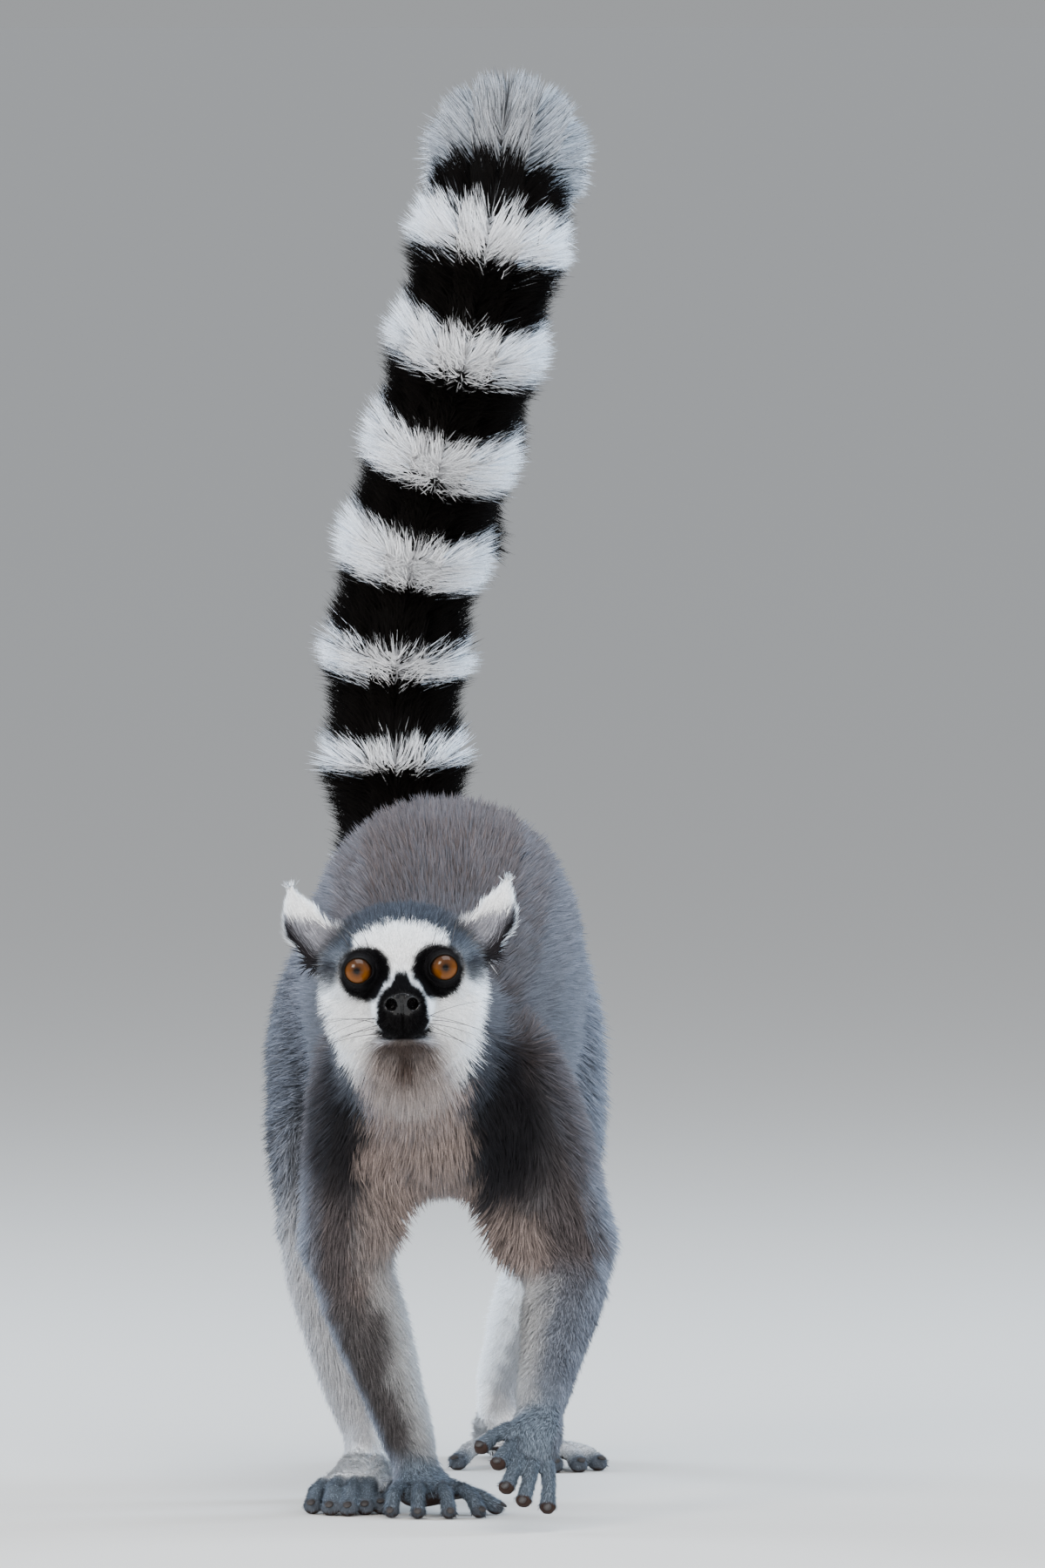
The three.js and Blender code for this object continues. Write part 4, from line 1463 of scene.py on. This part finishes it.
def recalc_outside(piece):
    select_only(piece)
    bpy.ops.object.mode_set(mode="EDIT")
    bpy.ops.mesh.select_all(action="SELECT")
    bpy.ops.mesh.remove_doubles(threshold=0.005 * MM)
    bpy.ops.mesh.normals_make_consistent(inside=False)
    bpy.ops.object.mode_set(mode="OBJECT")


# ------------------------------------------------------------------ nails and whiskers

FINGER_RADIUS, TOE_RADIUS = 3.6, 4.2
NAIL_SIZE = 0.48  # a nail's size beside its digit's radius
NAIL_SHAPE = (0.95, 1.05, 0.36)  # across, along and through


def add_nail(tip, knuckle, under, radius):
    """One flat nail: a flattened ball bent over the end of the digit."""
    along = unit(np.array(tip, float) - np.array(knuckle, float))
    back = -np.array(under, float)
    back = unit(back - (back @ along) * along)
    across = np.cross(along, back)
    turn = Matrix([[*row] for row in np.stack([across, along, back], 1)]).to_4x4()
    spot = np.array(tip, float) + along * radius * 0.3 + back * radius * 0.74
    nail = new_ball(radius * NAIL_SIZE, 14, 8)
    nail.data.transform(Matrix.Diagonal((*NAIL_SHAPE, 1)))
    nail.matrix_world = Matrix.Translation(Vector(to_scene(spot))) @ turn
    bpy.ops.object.transform_apply(location=True, rotation=True, scale=True)
    return nail


def make_nails():
    """Flat dark nails on every finger and toe, as one piece."""
    nails = []
    for side in ("left", "right"):
        for digits, under, radius in ((FINGERS, "hand", FINGER_RADIUS), (TOES, "foot", TOE_RADIUS)):
            for base, knuckle, tip in digits[side]:
                nails.append(add_nail(tip, knuckle, UNDERSIDE[f"{under}_{side}"], radius))
    select_only(*nails)
    bpy.ops.object.join()
    piece = bpy.context.object
    piece.name = piece.data.name = "nails"
    stand_on_floor(piece.data)
    return finish_piece(piece, plain_horn_finish("dark_horn_nails", "26211F", 0.55), "hand_skin")


# Roots of the bristles on the animal's left, in the head's frame.
WHISKER_ROOTS = [
    (9.5, -26, -19),
    (10.5, -24, -21.5),
    (11.2, -22, -18.5),
    (11.8, -20, -23),
    (12, -18, -20.5),
    (10.8, -23, -25),
]
BROW_ROOTS = [(13, -4, 9.5), (17, -2.5, 10.5), (21, -0.5, 10)]
WHISKER_LENGTH, BROW_LENGTH = 34, 17
BRISTLE_RADII = (0.17, 0.03)  # at its root and at its tip
DROOP = np.array([0, 0.15, -0.22])  # how far a bristle's tip is bent by its weight, as shares of its length


def make_whiskers():
    """Fine tapering bristles on lips and brows, each a thin cone bent by its own weight."""
    dice = np.random.default_rng(77)
    bpy.ops.object.select_all(action="DESELECT")
    bristles = []
    for sign in (1, -1):
        plans = [(root, (1.0, 0.35, -0.1), WHISKER_LENGTH) for root in WHISKER_ROOTS]
        plans += [(root, (0.45, -0.2, 1.0), BROW_LENGTH) for root in BROW_ROOTS]
        for root, way, length in plans:
            way = unit(np.array(way) + 0.22 * dice.normal(size=3))
            way[0] *= sign
            start = np.array(root, float) * (sign, 1, 1)
            length = length * dice.uniform(0.75, 1.1)
            root_radius, tip_radius = (radius * MM for radius in BRISTLE_RADII)
            bpy.ops.mesh.primitive_cone_add(vertices=5, radius1=root_radius, radius2=tip_radius, depth=1.0)
            bristle = bpy.context.object
            bpy.ops.object.mode_set(mode="EDIT")
            bpy.ops.mesh.select_all(action="SELECT")
            bpy.ops.mesh.subdivide(number_cuts=5)
            bpy.ops.object.mode_set(mode="OBJECT")
            p = corners_of(bristle.data)
            share = p[:, 2] + 0.5
            across = unit(np.cross(way, (0, 0, 1.0)))
            deep = np.cross(way, across)
            line = start + way * length * share[:, None] + DROOP * length * (share**2)[:, None]
            local = line + (across * p[:, :1] + deep * p[:, 1:2]) / MM
            move_corners(bristle.data, to_scene(from_head(local)))
            bristles.append(bristle)
    select_only(*bristles)
    bpy.ops.object.join()
    piece = bpy.context.object
    piece.name = piece.data.name = "whiskers"
    recalc_outside(piece)
    return finish_piece(piece, plain_horn_finish("dark_whisker_bristle", "3A3838", 0.45), "face_fur")


# ------------------------------------------------------------------ floor, lights and camera

CAMERA_AT = (34.2, -8000.0, 620.0)
CAMERA_PITCH = math.radians(2.2668)  # looking down
LENS_MM = 666.7  # on a sensor 36 mm wide

FLOOR_SIZE, FLOOR_MIDDLE = 1200, (0, 590, 0)  # metres: it runs from behind the camera to the horizon
SKY = (0.78, 0.85, 0.95)
FLOOR_COLOUR = "C9C4BD"
FLOOR_LIT = 1.04  # how brightly the far floor shows beside the sky above it


def paint_plain(name, code, roughness):
    """Matt studio paint: even, and without shine, so that only the fall of light shows on it."""
    return new_finish(name, {"Base Color": (*srgb(code), 1), "Roughness": roughness})[0]


def set_stage():
    bpy.ops.object.select_all(action="DESELECT")
    bpy.ops.mesh.primitive_plane_add(size=FLOOR_SIZE, location=FLOOR_MIDDLE)
    floor = bpy.context.object
    floor.name = "floor"
    bpy.ops.object.transform_apply(location=True, rotation=False, scale=False)
    floor.data.materials.append(paint_plain("pale_studio_floor", FLOOR_COLOUR, 0.9))

    # A soft sky that sinks to the floor's own tone where the two meet, so that no line shows.
    world = bpy.data.worlds.new("studio")
    world.use_nodes = True
    tree = world.node_tree
    where = add_node(tree, "ShaderNodeTexCoord")
    parts = add_node(tree, "ShaderNodeSeparateXYZ", {}, {"Vector": where.outputs["Generated"]})
    tones = add_node(tree, "ShaderNodeValToRGB", {}, {"Fac": parts.outputs["Z"]})
    low, high = tones.color_ramp.elements
    low.position, high.position = 0.01, 0.3
    high.color = (*SKY, 1)
    low.color = (*(np.array(SKY) * srgb(FLOOR_COLOUR) * FLOOR_LIT), 1)
    background = tree.nodes["Background"]
    tree.links.new(tones.outputs["Color"], background.inputs["Color"])
    background.inputs["Strength"].default_value = 0.8
    bpy.context.scene.world = world

    def softbox(name, place, aim, size, watts, colour, shines=True):
        lamp = bpy.data.lights.new(name, "AREA")
        lamp.shape = "RECTANGLE"
        lamp.size, lamp.size_y = size
        lamp.energy = watts
        lamp.color = colour
        holder = bpy.data.objects.new(name, lamp)
        bpy.context.scene.collection.objects.link(holder)
        holder.location = place
        holder.rotation_euler = (Vector(aim) - Vector(place)).to_track_quat("-Z", "Y").to_euler()
        holder.visible_glossy = shines  # one that doesn't shine leaves no mark in the eyes

    softbox("overhead_softbox", (0.3, -0.9, 2.6), (0, 0, 0.3), (2.0, 2.0), 75, (0.9, 0.95, 1.0))
    softbox("front_softbox", (-1.9, -3.0, 2.0), (0, 0, 0.25), (1.2, 1.2), 96, (1.0, 0.94, 0.88))
    softbox("low_front_softbox", (0.5, -2.7, 0.45), (0, 0, 0.1), (2.4, 0.8), 64, (1.0, 0.98, 0.96), False)
    softbox("left_rim_softbox", (-1.8, 0.8, 1.0), (0, 0, 0.25), (0.9, 1.8), 85, (0.68, 0.82, 1.0), False)
    softbox("right_rim_softbox", (1.8, 0.8, 1.0), (0, 0, 0.25), (0.9, 1.8), 90, (0.6, 0.78, 1.0), False)


def set_camera():
    lens = bpy.data.cameras.new("camera")
    lens.sensor_fit = "HORIZONTAL"
    lens.sensor_width = 36.0
    lens.lens = LENS_MM
    lens.clip_end = 2000
    camera = bpy.data.objects.new("camera", lens)
    bpy.context.scene.collection.objects.link(camera)
    camera.location = to_scene(CAMERA_AT)
    camera.rotation_euler = (math.pi / 2 - CAMERA_PITCH, 0, 0)
    bpy.context.scene.camera = camera


# ------------------------------------------------------------------ the whole model

set_camera()
set_stage()
skin, skin_place = make_skin()
grow_coats(skin, skin_place)
for side in ("left", "right"):
    make_eyeball(side)
    make_lid(side)
make_nails()
make_whiskers()
